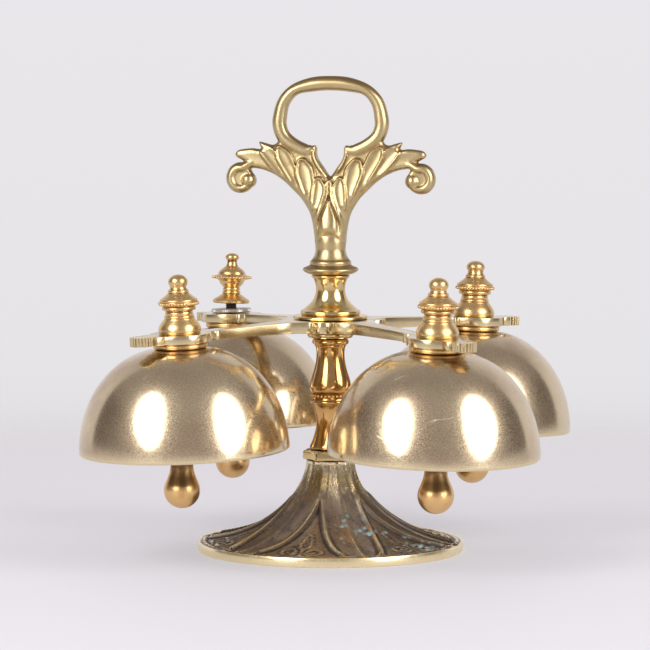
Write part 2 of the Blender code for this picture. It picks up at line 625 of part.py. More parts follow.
def make_handle(material):
    """One casting: neck, two scrolled arms with leaves, and the open loop over the notch."""
    piece = place("handle", handle_neck(), material, location=(0, 0, HANDLE_BASE))
    path = arm_path()
    neck_top = HANDLE_NECK_HEIGHT
    roots = [path[3], path[2], (0.24 * SCROLL_REACH, path[1][1]), (0.13 * SCROLL_REACH, neck_top),
             (0.05 * SCROLL_REACH, neck_top)]
    combine(piece, handle_web(), "UNION")
    for shape in (handle_arm(), handle_scroll_eye()):
        combine(piece, mirrored(shape), "UNION")
        combine(piece, shape, "UNION")
    combine(piece, handle_loop(), "UNION")
    for root, (reach, rise, bow, half_width) in zip(roots, LEAVES):
        leaf = handle_leaf(root, (reach, LOOP_CUSP_HEIGHT + rise), bow, half_width, LEAF_DEPTH / 2)
        combine(piece, mirrored(leaf), "UNION")
        combine(piece, leaf, "UNION")
    bud = handle_leaf((0, 0.75 * HANDLE_NECK_HEIGHT), (0, 1.32 * HANDLE_NECK_HEIGHT), 0.0,
                      BUD_HALF_WIDTH, HANDLE_NECK_RADIUS + BUD_PROUD)
    combine(piece, bud, "UNION")


def make_tie_rod(steel, material):
    """Long rod through foot, stem, cross and socket into the handle, with a washer and a nut below."""
    seat = FOOT_HEIGHT - FOOT_CEILING - SEAT_GAP
    washer_base = seat - TIE_WASHER_THICK
    nut_base = washer_base - SEAT_GAP - TIE_NUT_HEIGHT
    bottom = nut_base - TIE_ROD_PROUD
    place("tie_rod", rod(TIE_ROD_RADIUS, 0, TIE_ROD_TOP - bottom), steel, location=(0, 0, bottom))
    make_washer("tie_rod_washer", TIE_WASHER_RADIUS, TIE_BORE_RADIUS, TIE_WASHER_THICK, steel,
                level=washer_base, sides=SMALL_SIDES)
    nut = place("tie_rod_nut", prism(hexagon(TIE_NUT_CORNER_RADIUS), 0, TIE_NUT_HEIGHT), material,
                location=(0, 0, nut_base))
    combine(nut, rod(TIE_BORE_RADIUS, -TIE_NUT_HEIGHT, 2 * TIE_NUT_HEIGHT), "DIFFERENCE")


def make_bell(name, material, station):
    """Thin dome: a small flat crown, then a quarter ellipse down to an open rim."""
    spread = BELL_RADIUS - BELL_CROWN_RADIUS
    outer, inner = [], []
    for i in range(7):
        angle = math.pi / 2 * i / 6
        outer.append((BELL_CROWN_RADIUS + spread * math.sin(angle), -BELL_HEIGHT * (1 - math.cos(angle))))
    for i in range(5):
        angle = math.pi / 2 * i / 4
        inner.append((BELL_CROWN_RADIUS + (spread - BELL_WALL) * math.sin(angle),
                      -BELL_WALL - (BELL_HEIGHT - BELL_WALL) * (1 - math.cos(angle))))
    outline = [(STUD_BORE_RADIUS, 0)] + outer + inner[::-1] + [(STUD_BORE_RADIUS, -BELL_WALL)]
    place(name, turned(outline, BELL_SIDES), material, station, (0, 0, BELL_TOP))


def finial_bore(level):
    """Outline of the blind hole that takes the stud, from its bottom to the finial's base."""
    depth = STUD_GRIP + SEAT_GAP - level
    return [(0, depth), (STUD_BORE_RADIUS, depth), (STUD_BORE_RADIUS, 0)]


def make_finial(name, material, station, worn):
    """Turned ball nut: flared base, waist, beaded ring, thin neck and ball, worn flat on one."""
    height = FINIAL_STEM_HEIGHT
    base = [(FINIAL_BASE_RADIUS, 0.08 * height), (0.92 * FINIAL_BASE_RADIUS, 0.2 * height),
            (1.12 * FINIAL_WAIST_RADIUS, 0.33 * height), (FINIAL_WAIST_RADIUS, 0.48 * height),
            (0.8 * FINIAL_RING_RADIUS, 0.6 * height)]
    ring = arc((0.89 * FINIAL_RING_RADIUS, 0.71 * height), 0.11 * FINIAL_RING_RADIUS, -80, 80, 2)
    cap = [(0.85 * FINIAL_RING_RADIUS, 0.81 * height), (0.53 * FINIAL_RING_RADIUS, 0.87 * height),
           (0.47 * FINIAL_RING_RADIUS, 0.94 * height), (FINIAL_NECK_RADIUS, height)]
    reach = math.degrees(math.acos(FINIAL_NECK_RADIUS / FINIAL_BALL_RADIUS))
    centre = height + FINIAL_BALL_RADIUS * math.sin(math.radians(reach))
    top = centre + FINIAL_BALL_RADIUS - (WORN_BALL_CUT if worn else 0.0)
    crown = math.degrees(math.asin(min(1.0, (top - centre) / FINIAL_BALL_RADIUS)))
    ball = arc((0, centre), FINIAL_BALL_RADIUS, -reach, crown, 5)[1:]
    outline = finial_bore(SEAT_GAP) + [(FINIAL_BASE_RADIUS, 0)] + base + ring + cap + ball
    outline = outline + [(0, top)] if worn else outline[:-1] + [(0, top)]
    place(name, turned(outline, FINIAL_SIDES, closed=False), material, station, (0, 0, SEAT_GAP))


def make_odd_finial(name, material, station):
    """The back left finial: slimmer, with a thin wide flange, raised on its stud over a thin nut."""
    height = FINIAL_STEM_HEIGHT
    level = SEAT_GAP + STUD_NUT_HEIGHT + ODD_FINIAL_LIFT
    base = [(ODD_FINIAL_BASE_RADIUS, 0.06 * height), (0.72 * ODD_FINIAL_BASE_RADIUS, 0.2 * height),
            (ODD_FINIAL_WAIST_RADIUS, 0.42 * height), (1.25 * ODD_FINIAL_WAIST_RADIUS, 0.58 * height),
            (0.75 * ODD_FINIAL_RING_RADIUS, 0.66 * height)]
    flange = [(ODD_FINIAL_RING_RADIUS, 0.70 * height), (ODD_FINIAL_RING_RADIUS, 0.74 * height)]
    cap = [(0.7 * ODD_FINIAL_RING_RADIUS, 0.78 * height), (0.45 * ODD_FINIAL_RING_RADIUS, 0.88 * height),
           (0.8 * ODD_FINIAL_BALL_RADIUS, height)]
    centre = height + 0.6 * ODD_FINIAL_BALL_RADIUS
    ball = arc((0, centre), ODD_FINIAL_BALL_RADIUS, -36, 90, 4)[:-1]
    outline = finial_bore(level) + [(ODD_FINIAL_BASE_RADIUS, 0)] + base + flange + cap + ball
    outline += [(0, centre + ODD_FINIAL_BALL_RADIUS)]
    place(name, turned(outline, FINIAL_SIDES, closed=False), material, station, (0, 0, level))


def make_stud(name, material, station):
    """Bolt from inside the finial down through eye, washer, bell and nut, headed to carry the stirrup."""
    bottom = STUD_HEAD_TOP - STUD_HEAD_HEIGHT
    head = -bottom
    outline = [(0, 0), (STUD_HEAD_RADIUS, 0), (STUD_HEAD_RADIUS, STUD_HEAD_HEIGHT),
               (STUD_RADIUS, STUD_HEAD_HEIGHT), (STUD_RADIUS, head + STUD_GRIP), (0, head + STUD_GRIP)]
    place(name, turned(outline, SMALL_SIDES, closed=False), material, station, (0, 0, bottom))


def make_bell_nut(name, material, station):
    """Hexagon nut that clamps the bell from inside."""
    piece = place(name, prism(hexagon(BELL_NUT_CORNER_RADIUS), -BELL_NUT_HEIGHT, 0), material, station,
                  (0, 0, BELL_NUT_TOP))
    combine(piece, rod(STUD_BORE_RADIUS, -2 * BELL_NUT_HEIGHT, BELL_NUT_HEIGHT), "DIFFERENCE")


def make_stirrup(name, material, station):
    """Strap bent to a U that turns on the stud above its head, with its two legs round the pin."""
    drop = STIRRUP_TOP - PIN_LEVEL
    leg_end = drop + PIN_RADIUS + 2.2 * PIN_RADIUS
    inner, outer = STIRRUP_HALF_SPAN, STIRRUP_HALF_SPAN + STIRRUP_THICK
    right = [(outer, 0), (outer, -leg_end), (inner, -leg_end), (inner, -STIRRUP_THICK)]
    corners = right + [(-y, z) for y, z in right[::-1]]
    half_width = STUD_BORE_RADIUS + STIRRUP_WEB
    strap_bm = prism(corners, -half_width, half_width)
    strap_bm.transform(Matrix(((0, 0, 1, 0), (1, 0, 0, 0), (0, 1, 0, 0), (0, 0, 0, 1))))
    piece = place(name, strap_bm, material, station, (0, 0, STIRRUP_TOP))
    combine(piece, rod(STUD_BORE_RADIUS, -2 * STIRRUP_THICK, STIRRUP_THICK), "DIFFERENCE")
    combine(piece, cross_rod(PIN_RADIUS + BORE_GAP, 2 * outer, -drop), "DIFFERENCE")


def make_pin(name, material, station):
    """Headed pin through the stirrup's legs and the clapper's eye."""
    grip = STIRRUP_HALF_SPAN + STIRRUP_THICK + BORE_GAP
    end = grip + PIN_HEAD_THICK
    half = [(PIN_RADIUS, grip), (PIN_HEAD_RADIUS, grip), (PIN_HEAD_RADIUS, end), (0, end)]
    outline = [(r, -z) for r, z in half[::-1]] + half
    bm = turned(outline, SMALL_SIDES, closed=False)
    bm.transform(Matrix.Rotation(math.pi / 2, 4, "X"))
    place(name, bm, material, station, (0, 0, PIN_LEVEL))


def make_clapper(name, material, station):
    """Pear-shaped clapper with a drilled eye, hanging plumb from its pin."""
    ball = -CLAPPER_LENGTH
    pear = [(CLAPPER_NECK_RADIUS, -0.9 * CLAPPER_EYE_RADIUS), (CLAPPER_NECK_RADIUS, 0.45 * ball),
            (1.6 * CLAPPER_NECK_RADIUS, 0.72 * ball),
            (0.76 * CLAPPER_BALL_RADIUS, ball + 0.75 * CLAPPER_BALL_RADIUS)]
    tail = arc((0, ball), CLAPPER_BALL_RADIUS, 20, -90, 4)[:-1]
    outline = [(0, pear[0][1])] + pear + tail + [(0, ball - CLAPPER_BALL_RADIUS)]
    piece = place(name, turned(outline, FINIAL_SIDES, closed=False), material, station, (0, 0, PIN_LEVEL),
                  (0, -ARM_DROOP, 0))
    half_width = STIRRUP_HALF_SPAN - 2 * SEAT_GAP - BORE_GAP
    combine(piece, cross_rod(CLAPPER_EYE_RADIUS, half_width, 0), "UNION")
    combine(piece, cross_rod(PIN_RADIUS + BORE_GAP, 2 * half_width, 0), "DIFFERENCE")


def make_station(name, degrees, materials):
    """One bell with all that hangs on its stud."""
    station = bpy.data.objects.new(f"station_{name}", None)
    bpy.context.scene.collection.objects.link(station)
    station.matrix_world = station_frame(degrees)
    if name == "back_left":
        make_washer(f"stud_nut_{name}", STUD_NUT_RADIUS, STUD_BORE_RADIUS, STUD_NUT_HEIGHT,
                    materials["steel"], station, SEAT_GAP, SMALL_SIDES)
        make_odd_finial(f"finial_{name}", materials["orange_brass"], station)
    else:
        make_finial(f"finial_{name}", materials["orange_brass"], station, worn=name == "back_right")
    make_stud(f"bell_stud_{name}", materials["dark_steel"], station)
    make_washer(f"bell_washer_{name}", BELL_WASHER_RADIUS, STUD_BORE_RADIUS, BELL_WASHER_THICK,
                materials["steel"], station, BELL_WASHER_TOP - BELL_WASHER_THICK, FINIAL_SIDES)
    make_bell(f"bell_{name}", materials["bell_bronze"], station)
    make_bell_nut(f"bell_nut_{name}", materials["orange_brass"], station)
    make_stirrup(f"clapper_stirrup_{name}", materials["orange_brass"], station)
    make_pin(f"clapper_pin_{name}", materials["dark_steel"], station)
    make_clapper(f"clapper_{name}", materials["clapper_bronze"], station)


def main():
    for old in list(bpy.data.objects):
        bpy.data.objects.remove(old)
    materials = {
        "foot_patina": make_material("foot_patina", (0.20, 0.16, 0.09), 0.45),
        "deep_brass": make_material("deep_brass", (0.62, 0.40, 0.12), 0.25),
        "pale_brass": make_material("pale_brass", (0.72, 0.58, 0.27), 0.30),
        "orange_brass": make_material("orange_brass", (0.68, 0.40, 0.12), 0.28),
        "bell_bronze": make_material("bell_bronze", (0.60, 0.48, 0.33), 0.32),
        "clapper_bronze": make_material("clapper_bronze", (0.56, 0.38, 0.20), 0.45),
        "steel": make_material("steel", (0.60, 0.60, 0.60), 0.35),
        "dark_steel": make_material("dark_steel", (0.18, 0.17, 0.16), 0.50),
    }
    make_foot(materials["foot_patina"])
    make_collar(materials["deep_brass"])
    make_stem(materials["deep_brass"])
    make_washer("hub_washer", HUB_WASHER_RADIUS, TIE_BORE_RADIUS, HUB_WASHER_THICK,
                materials["deep_brass"], level=HUB_WASHER_BASE)
    make_spider(materials["deep_brass"])
    make_socket(materials["deep_brass"])
    make_handle(materials["pale_brass"])
    make_tie_rod(materials["dark_steel"], materials["orange_brass"])
    for name, degrees in STATIONS.items():
        make_station(name, degrees, materials)


main()
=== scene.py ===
"""Altar bell with four bells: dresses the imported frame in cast, turned and worn brass."""

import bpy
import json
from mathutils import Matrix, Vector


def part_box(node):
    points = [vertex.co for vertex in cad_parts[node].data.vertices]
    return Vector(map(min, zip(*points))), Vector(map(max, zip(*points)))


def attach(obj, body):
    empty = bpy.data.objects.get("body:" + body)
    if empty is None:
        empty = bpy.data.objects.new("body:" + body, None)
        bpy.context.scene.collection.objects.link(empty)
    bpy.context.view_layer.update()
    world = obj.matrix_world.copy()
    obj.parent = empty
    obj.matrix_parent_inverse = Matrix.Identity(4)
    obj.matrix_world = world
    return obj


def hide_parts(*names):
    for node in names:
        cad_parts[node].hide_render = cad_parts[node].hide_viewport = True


bl_info = {
    "name": "Altar Bell",
    "version": (1, 0, 0),
    "blender": (4, 5, 0),
    "location": "3D View > Sidebar > Altar Bell",
    "description": "Dresses the frame of a four-bell altar bell in cast and turned brass",
    "category": "Object",
}

import json
import math

import bmesh
import bpy
import numpy as np
from mathutils import Matrix, Quaternion, Vector

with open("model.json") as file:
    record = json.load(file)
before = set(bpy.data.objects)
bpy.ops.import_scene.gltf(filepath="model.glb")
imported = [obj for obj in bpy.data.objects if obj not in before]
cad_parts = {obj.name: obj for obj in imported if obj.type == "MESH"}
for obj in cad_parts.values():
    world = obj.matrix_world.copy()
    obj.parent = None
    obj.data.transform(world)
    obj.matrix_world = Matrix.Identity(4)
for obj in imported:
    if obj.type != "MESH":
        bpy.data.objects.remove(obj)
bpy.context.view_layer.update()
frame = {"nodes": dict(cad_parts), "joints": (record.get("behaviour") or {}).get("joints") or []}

MM = 0.001
CORNERS = ("front_right", "back_right", "back_left", "front_left")
ODD_CORNER = "back_left"
FLATTENED_CORNER = "back_right"

# Fits of the frame in millimetres. Levels count from the top of a cross eye.
ROD_BORE = 3.3
STUD_BORE = 2.9
PIN_BORE = 1.3
PIN_BELOW_EYE = 19.5
SEAT = 0.3
RAISED_SEAT = 4.7
BELL_CROWN = -6.4
WASHER_LEVEL = -6.1

# Steps of the foot's carved mesh, round it and up it
FOOT_COLUMNS, FOOT_ROWS = 480, 140

# The photograph's frame and what the camera and lamps are set round, in metres
PHOTO_SIZE = 650
SHIFT_PIXELS = -5.6
LENS_PER_METRE = 124.1
TARGET = Vector((0, 0, 0.1010))
LAMP_DISTANCE = 1.25

# Fixed colours: fresh scratches and spots of verdigris
FRESH_CUT = (0.95, 0.90, 0.78)
VERDIGRIS = (0.37, 0.65, 0.75)


def base(node_name):
    """Height of a node's underside, in millimetres."""
    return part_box(node_name)[0][2] / MM


def top(node_name):
    """Height of a node's top, in millimetres."""
    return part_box(node_name)[1][2] / MM


def reach(node_name):
    """How far a node goes along X, in millimetres."""
    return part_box(node_name)[1][0] / MM


def joint(name):
    """A joint of the frame."""
    return next(j for j in frame["joints"] if j["name"] == name)


def placement(out, side, up, origin):
    """The matrix with these axes and this origin, in metres."""
    return Matrix([[out[i], side[i], up[i], origin[i]] for i in range(3)] + [[0, 0, 0, 1]])


def station(corner):
    """The frame on one eye of the cross: origin on its top face, X outwards."""
    swivel, swing = joint(f"{corner}_swivel"), joint(f"{corner}_swing")
    up, side = Vector(swivel["axis"]).normalized(), Vector(swing["axis"]).normalized()
    origin = Vector(swivel["pos_m"]) + up * PIN_BELOW_EYE * MM
    return placement(side.cross(up).normalized(), side, up, origin)


def soft_step(value):
    """Smooth rise from 0 to 1."""
    value = np.clip(value, 0, 1)
    return value * value * (3 - 2 * value)


def curve(points, steps=6):
    """A smooth run through the points (Catmull-Rom)."""
    path = np.array(points, float)
    path = np.vstack([2 * path[0] - path[1], path, 2 * path[-1] - path[-2]])
    t = (np.arange(steps) / steps)[:, None]
    runs = []
    for a, b, c, d in zip(path, path[1:], path[2:], path[3:]):
        second, third = 2 * a - 5 * b + 4 * c - d, 3 * b - a - 3 * c + d
        runs.append(0.5 * (2 * b + (c - a) * t + second * t ** 2 + third * t ** 3))
    return np.vstack(runs + [path[-2:-1]])


def arc(centre, radius, start, end, steps):
    """Points on a circle, angles in degrees."""
    angles = np.radians(np.linspace(start, end, steps + 1))
    return np.stack([centre[0] + radius * np.cos(angles),
                     centre[1] + radius * np.sin(angles)], axis=1)


def knob(wide, tall, centre, start, steps):
    """Outline of a round knob that ends on the axis, from a start angle in radians."""
    lift = np.linspace(start, math.pi / 2, steps)
    outline = np.stack([wide * np.cos(lift), centre + tall * np.sin(lift)], axis=1)
    outline[-1, 0] = 0.0
    return outline


def way_along(outline):
    """How far each point of an outline lies from its start, along it."""
    gaps = np.linalg.norm(np.diff(outline, axis=0), axis=1)
    return np.concatenate([[0], np.cumsum(gaps)])


def around(radius, level, angles):
    """Points about Z from radii, levels and angles, which are spread to one shape."""
    radius, level, angles = np.broadcast_arrays(radius, level, angles)
    return np.stack([radius * np.cos(angles), radius * np.sin(angles), level], axis=-1)


def whole_turn(count):
    """Angles of a whole turn in even steps."""
    return np.linspace(0, math.tau, count, endpoint=False)


def skin(sections, loop=False, caps=True):
    """Join rings of points into one mesh. The last ring meets the first when loop is set."""
    sections = np.asarray(sections, float)
    rows, columns, _ = sections.shape
    index = np.arange(rows * columns).reshape(rows, columns)
    following = np.roll(index, -1, axis=0) if loop else index[1:]
    here = index if loop else index[:-1]
    quads = np.stack([here, np.roll(here, -1, axis=1), np.roll(following, -1, axis=1),
                      following], axis=2)
    faces = quads.reshape(-1, 4).tolist()
    if caps and not loop:
        faces += [index[0].tolist(), index[-1].tolist()]
    mesh = bpy.data.meshes.new("skin")
    mesh.from_pydata((sections.reshape(-1, 3) * MM).tolist(), [], faces)
    return mesh


def tidy(mesh, merge=True):
    """Merge doubled points and turn all faces outwards."""
    bm = bmesh.new()
    bm.from_mesh(mesh)
    if merge:
        bmesh.ops.remove_doubles(bm, verts=bm.verts, dist=0.002 * MM)
    bmesh.ops.recalc_face_normals(bm, faces=bm.faces)
    bm.to_mesh(mesh)
    bm.free()
    return mesh


def store(mesh, name, values):
    """Keep one number for each point of a mesh, for its material."""
    layer = mesh.attributes.new(name, "FLOAT", "POINT")
    layer.data.foreach_set("value", np.asarray(values, np.float32))


def read(mesh, what):
    """Places (co) or normals (normal) of a mesh's points, a row each."""
    values = np.empty(len(mesh.vertices) * 3, np.float32)
    mesh.vertices.foreach_get(what, values)
    return values.reshape(-1, 3).astype(float)


def turned(outline, sides, loop=False):
    """Spin an outline of (radius, height) about Z and keep the way along it for turning marks."""
    outline = np.asarray(outline, float)
    mesh = skin(around(outline[:, :1], outline[:, 1:], whole_turn(sides)), loop, caps=False)
    store(mesh, "turn", np.repeat(way_along(outline), sides))
    return tidy(mesh)


def bored(outline, bore):
    """Close a turned outline with a straight bore on its axis."""
    outline = np.asarray(outline, float)
    return np.vstack([outline, [[bore, outline[-1, 1]], [bore, outline[0, 1]]]])


def join(meshes):
    """Put several meshes into one."""
    bm = bmesh.new()
    for mesh in meshes:
        bm.from_mesh(mesh)
    joined = bpy.data.meshes.new("joined")
    bm.to_mesh(joined)
    bm.free()
    return joined


def bench(mesh):
    """An object to run modifiers on."""
    piece = bpy.data.objects.new("bench", mesh)
    bpy.context.scene.collection.objects.link(piece)
    return piece


def off_bench(piece):
    """What an object's modifiers make, as a plain mesh. The object is removed."""
    ready = piece.evaluated_get(bpy.context.evaluated_depsgraph_get())
    result = bpy.data.meshes.new_from_object(ready)
    piece.modifiers.clear()
    bpy.data.objects.remove(piece)
    return result


def shaped(mesh, *modifiers):
    """Apply modifiers, given as (kind, settings), and return the resulting mesh."""
    piece = bench(mesh)
    for kind, settings in modifiers:
        modifier = piece.modifiers.new(kind.title(), kind)
        for key, value in settings.items():
            setattr(modifier, key, value)
    return off_bench(piece)


def hollows(mesh, rounds, strength):
    """How deep each point lies among its neighbours, from 0 on crests to 1 in grooves."""
    count = len(mesh.vertices)
    points, normals = read(mesh, "co"), read(mesh, "normal")
    edges = np.empty(len(mesh.edges) * 2, np.int32)
    mesh.edges.foreach_get("vertices", edges)
    one, other = edges[0::2], edges[1::2]
    ends, others = np.concatenate([one, other]), np.concatenate([other, one])
    degree = np.maximum(1, np.bincount(ends, minlength=count))[:, None]
    smooth = points.copy()
    for _ in range(rounds):
        total = np.stack([np.bincount(ends, smooth[others, k], count) for k in range(3)], axis=1)
        smooth = 0.4 * smooth + 0.6 * total / degree
    depth = ((smooth - points) * normals).sum(axis=1) / MM
    return np.clip(0.5 + strength * depth, 0, 1)


def dress(name, mesh, body, finish, nodes=(), at=None, sharp=35):
    """Make a mesh a finished piece: placed, shaded, on its body and in its finish."""
    if at is not None:
        mesh.transform(at)
    mesh.name = name
    mesh.materials.clear()
    mesh.materials.append(bpy.data.materials[f"worn_{finish}"])
    mesh.shade_smooth()
    mesh.set_sharp_from_angle(angle=math.radians(sharp))
    piece = bpy.data.objects.new(name, mesh)
    bpy.context.scene.collection.objects.link(piece)
    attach(piece, body)
    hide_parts(*nodes)
    return piece


def paint(finish, *node_names):
    """Give CAD nodes that keep their own shape a finish."""
    for node_name in node_names:
        data = frame["nodes"][node_name].data
        data.materials.clear()
        data.materials.append(bpy.data.materials[f"worn_{finish}"])


def node(tree, kind, inputs=None, **settings):
    """Add a node, link the inputs that are sockets and set the others."""
    made = tree.nodes.new(kind)
    for key, value in settings.items():
        setattr(made, key, value)
    for key, value in (inputs or {}).items():
        if isinstance(value, bpy.types.NodeSocket):
            tree.links.new(value, made.inputs[key])
        else:
            made.inputs[key].default_value = value
    return made


def maths(tree, operation, *values):
    """One step of arithmetic on numbers and sockets."""
    return node(tree, "ShaderNodeMath", dict(enumerate(values)), operation=operation).outputs[0]


def noise(tree, vector, scale, detail, **more):
    """Value of a cloudy noise."""
    inputs = {"Vector": vector, "Scale": scale, "Detail": detail, **more}
    return node(tree, "ShaderNodeTexNoise", inputs).outputs["Fac"]


def spread(tree, value, low, high, kind="LINEAR"):
    """Stretch a value so that low becomes 0 and high becomes 1."""
    inputs = {"Value": value, "From Min": low, "From Max": high}
    return node(tree, "ShaderNodeMapRange", inputs, interpolation_type=kind).outputs["Result"]


def mixed(tree, mask, first, second, blend="MIX"):
    """Mix two colours by a mask. Each is a socket or three numbers."""
    mix = node(tree, "ShaderNodeMix", {"Factor": mask}, data_type="RGBA", blend_type=blend)
    for identifier, value in (("A_Color", first), ("B_Color", second)):
        socket = next(s for s in mix.inputs if s.identifier == identifier)
        if isinstance(value, bpy.types.NodeSocket):
            tree.links.new(value, socket)
        else:
            socket.default_value = (*value, 1.0)
    return next(s for s in mix.outputs if s.identifier == "Result_Color")


def new_tree(name, kind, inputs, outputs):
    """A node group with sockets given as (name, type, default): tree, its inputs, its outputs."""
    tree = bpy.data.node_groups.new(name, kind)
    for direction, sockets in (("INPUT", inputs), ("OUTPUT", outputs)):
        for label, socket_type, default in sockets:
            socket = tree.interface.new_socket(label, in_out=direction,
                                               socket_type=f"NodeSocket{socket_type}")
            if default is not None:
                socket.default_value = default
    given, result = tree.nodes.new("NodeGroupInput"), tree.nodes.new("NodeGroupOutput")
    return tree, given.outputs, result.inputs


def repeat_tree(name, sizes):
    """An empty geometry node tree with sizes and a finish, for a shape that repeats."""
    return new_tree(name, "GeometryNodeTree", [*sizes, ("Finish", "Material", None)],
                    [("Geometry", "Geometry", None)])


def end_repeat(tree, given, result, path, shape):
    """End such a tree: the shape on each point of the path, made real, in its finish."""
    copies = node(tree, "GeometryNodeInstanceOnPoints",
                  {"Points": path.outputs["Curve"], "Instance": shape.outputs["Mesh"]})
    real = node(tree, "GeometryNodeRealizeInstances", {"Geometry": copies.outputs["Instances"]})
    done = node(tree, "GeometryNodeSetMaterial",
                {"Geometry": real.outputs["Geometry"], "Material": given["Finish"]})
    tree.links.new(done.outputs["Geometry"], result["Geometry"])


def bead_ring_tree():
    """Geometry nodes: a ring of round beads."""
    tree, given, result = repeat_tree("Bead Ring", [
        ("Beads", "Int", 30), ("Ring Radius", "Float", 0.009), ("Bead Radius", "Float", 0.001)])
    ring = node(tree, "GeometryNodeCurvePrimitiveCircle",
                {"Resolution": given["Beads"], "Radius": given["Ring Radius"]})
    bead = node(tree, "GeometryNodeMeshUVSphere",
                {"Segments": 10, "Rings": 7, "Radius": given["Bead Radius"]})
    end_repeat(tree, given, result, ring, bead)


def fan_rib_tree():
    """Geometry nodes: upright round ribs along an arc, for the fan on the end of an arm."""
    tree, given, result = repeat_tree("Fan Ribs", [
        ("Ribs", "Int", 7), ("Fan Radius", "Float", 0.0046),
        ("Sweep", "Float", math.radians(260)), ("Rib Radius", "Float", 0.0008),
        ("Rib Height", "Float", 0.003)])
    fan = node(tree, "GeometryNodeCurveArc",
               {"Resolution": given["Ribs"], "Radius": given["Fan Radius"],
                "Start Angle": maths(tree, "MULTIPLY", given["Sweep"], -0.5),
                "Sweep Angle": given["Sweep"]})
    rib = node(tree, "GeometryNodeMeshCylinder",
               {"Vertices": 10, "Side Segments": 2, "Fill Segments": 2,
                "Radius": given["Rib Radius"], "Depth": given["Rib Height"]})
    end_repeat(tree, given, result, fan, rib)


def grow(label, finish, settings):
    """Run a geometry node tree with named settings and return what it makes as a plain mesh."""
    tree = bpy.data.node_groups[label]
    settings = {**settings, "Finish": bpy.data.materials[f"worn_{finish}"]}
    piece = bench(bpy.data.meshes.new("seed"))
    modifier = piece.modifiers.new("Grow", "NODES")
    modifier.node_group = tree
    for item in tree.interface.items_tree:
        if item.in_out == "INPUT" and item.name in settings:
            modifier[item.identifier] = settings[item.name]
    return off_bench(piece)


def bead_ring(finish, beads, ring, bead):
    """A ring of beads from their number, the ring's radius and a bead's, in millimetres."""
    return grow("Bead Ring", finish,
                {"Beads": beads, "Ring Radius": ring * MM, "Bead Radius": bead * MM})


def mask_group(name, inputs, output="Mask"):
    """An empty shader group with one output: tree, inputs, and a call that links the output.

    Inputs are named with their defaults. Those without one are vectors.
    """
    sockets = [(label, "Vector" if default is None else "Float", default)
               for label, default in inputs.items()]
    tree, given, result = new_tree(name, "ShaderNodeTree", sockets, [(output, "Float", None)])
    return tree, given, lambda socket: tree.links.new(socket, result[output])


def tarnish_group():
    """Shader group: cloudy patches."""
    tree, given, put_out = mask_group(
        "Cloudy Tarnish", {"Vector": None, "Scale": 60.0, "Low": 0.45, "High": 0.65})
    cloud = noise(tree, given["Vector"], given["Scale"], 6.0, Roughness=0.62)
    put_out(spread(tree, cloud, given["Low"], given["High"], "SMOOTHSTEP"))


def scratch_group():
    """Shader group: fine straight scratches in three directions."""
    tree, given, put_out = mask_group("Fine Scratches", {"Vector": None, "Scale": 2500.0})
    marks = None
    for turn, lean in ((0.35, 0.5), (-0.7, -0.25), (1.3, 1.1)):
        drawn_out = node(tree, "ShaderNodeMapping",
                         {"Vector": given["Vector"], "Rotation": (turn, lean, turn * 2.0),
                          "Scale": (1.0, 0.9, 0.025)})
        streak = noise(tree, drawn_out.outputs["Vector"], given["Scale"], 2.0)
        line = spread(tree, streak, 0.62, 0.78)
        marks = maths(tree, "MAXIMUM", marks, line) if marks else line
    put_out(marks)


def turning_group():
    """Shader group: fine rings left by the lathe, along the turned outline."""
    tree, given, put_out = mask_group("Turning Lines", {"Turn": 0.0, "Pitch": 4.0}, "Height")
    along = maths(tree, "MULTIPLY", given["Turn"], given["Pitch"])
    rings = node(tree, "ShaderNodeTexNoise", {"W": along, "Scale": 1.0, "Detail": 3.0},
                 noise_dimensions="1D")
    put_out(rings.outputs["Fac"])


def speck_group():
    """Shader group: small scattered spots."""
    tree, given, put_out = mask_group("Specks", {"Vector": None, "Scale": 300.0, "Size": 0.12})
    cell = node(tree, "ShaderNodeTexVoronoi",
                {"Vector": given["Vector"], "Scale": given["Scale"]})
    put_out(spread(tree, cell.outputs["Distance"], given["Size"], 0.0))


def nick_group():
    """Shader group: a few long curved scratches, broken off at random."""
    tree, given, put_out = mask_group(
        "Long Scratches", {"Vector": None, "Scale": 42.0, "Width": 0.009})
    moved = node(tree, "ShaderNodeMapping",
                 {"Vector": given["Vector"], "Location": (0.031, 0.017, 0.043)}).outputs["Vector"]
    sway = node(tree, "ShaderNodeTexNoise", {"Vector": moved, "Scale": 60.0, "Detail": 1.0})
    bent = node(tree, "ShaderNodeVectorMath",
                {0: sway.outputs["Color"], 1: (0.012, 0.012, 0.012), 2: moved},
                operation="MULTIPLY_ADD")
    cell = node(tree, "ShaderNodeTexVoronoi",
                {"Vector": bent.outputs["Vector"], "Scale": given["Scale"]},
                feature="DISTANCE_TO_EDGE")
    line = spread(tree, cell.outputs["Distance"], given["Width"], 0.0)
    part = spread(tree, noise(tree, moved, 55.0, 2.0), 0.60, 0.66)
    put_out(maths(tree, "MULTIPLY", line, part))


def dirt_and_painted_shade_group():
    """Shader group: dark wax and tarnish in hollows, and painted shade, where the stored depth is
    high.
    """
    tree, given, put_out = mask_group(
        "Settled Dirt", {"Recess": 0.0, "Vector": None, "Scale": 200.0, "Low": 0.5, "High": 0.8})
    uneven = maths(tree, "SUBTRACT", noise(tree, given["Vector"], given["Scale"], 4.0), 0.5)
    depth = maths(tree, "MULTIPLY_ADD", uneven, 0.45, given["Recess"])
    put_out(spread(tree, depth, given["Low"], given["High"], "SMOOTHSTEP"))


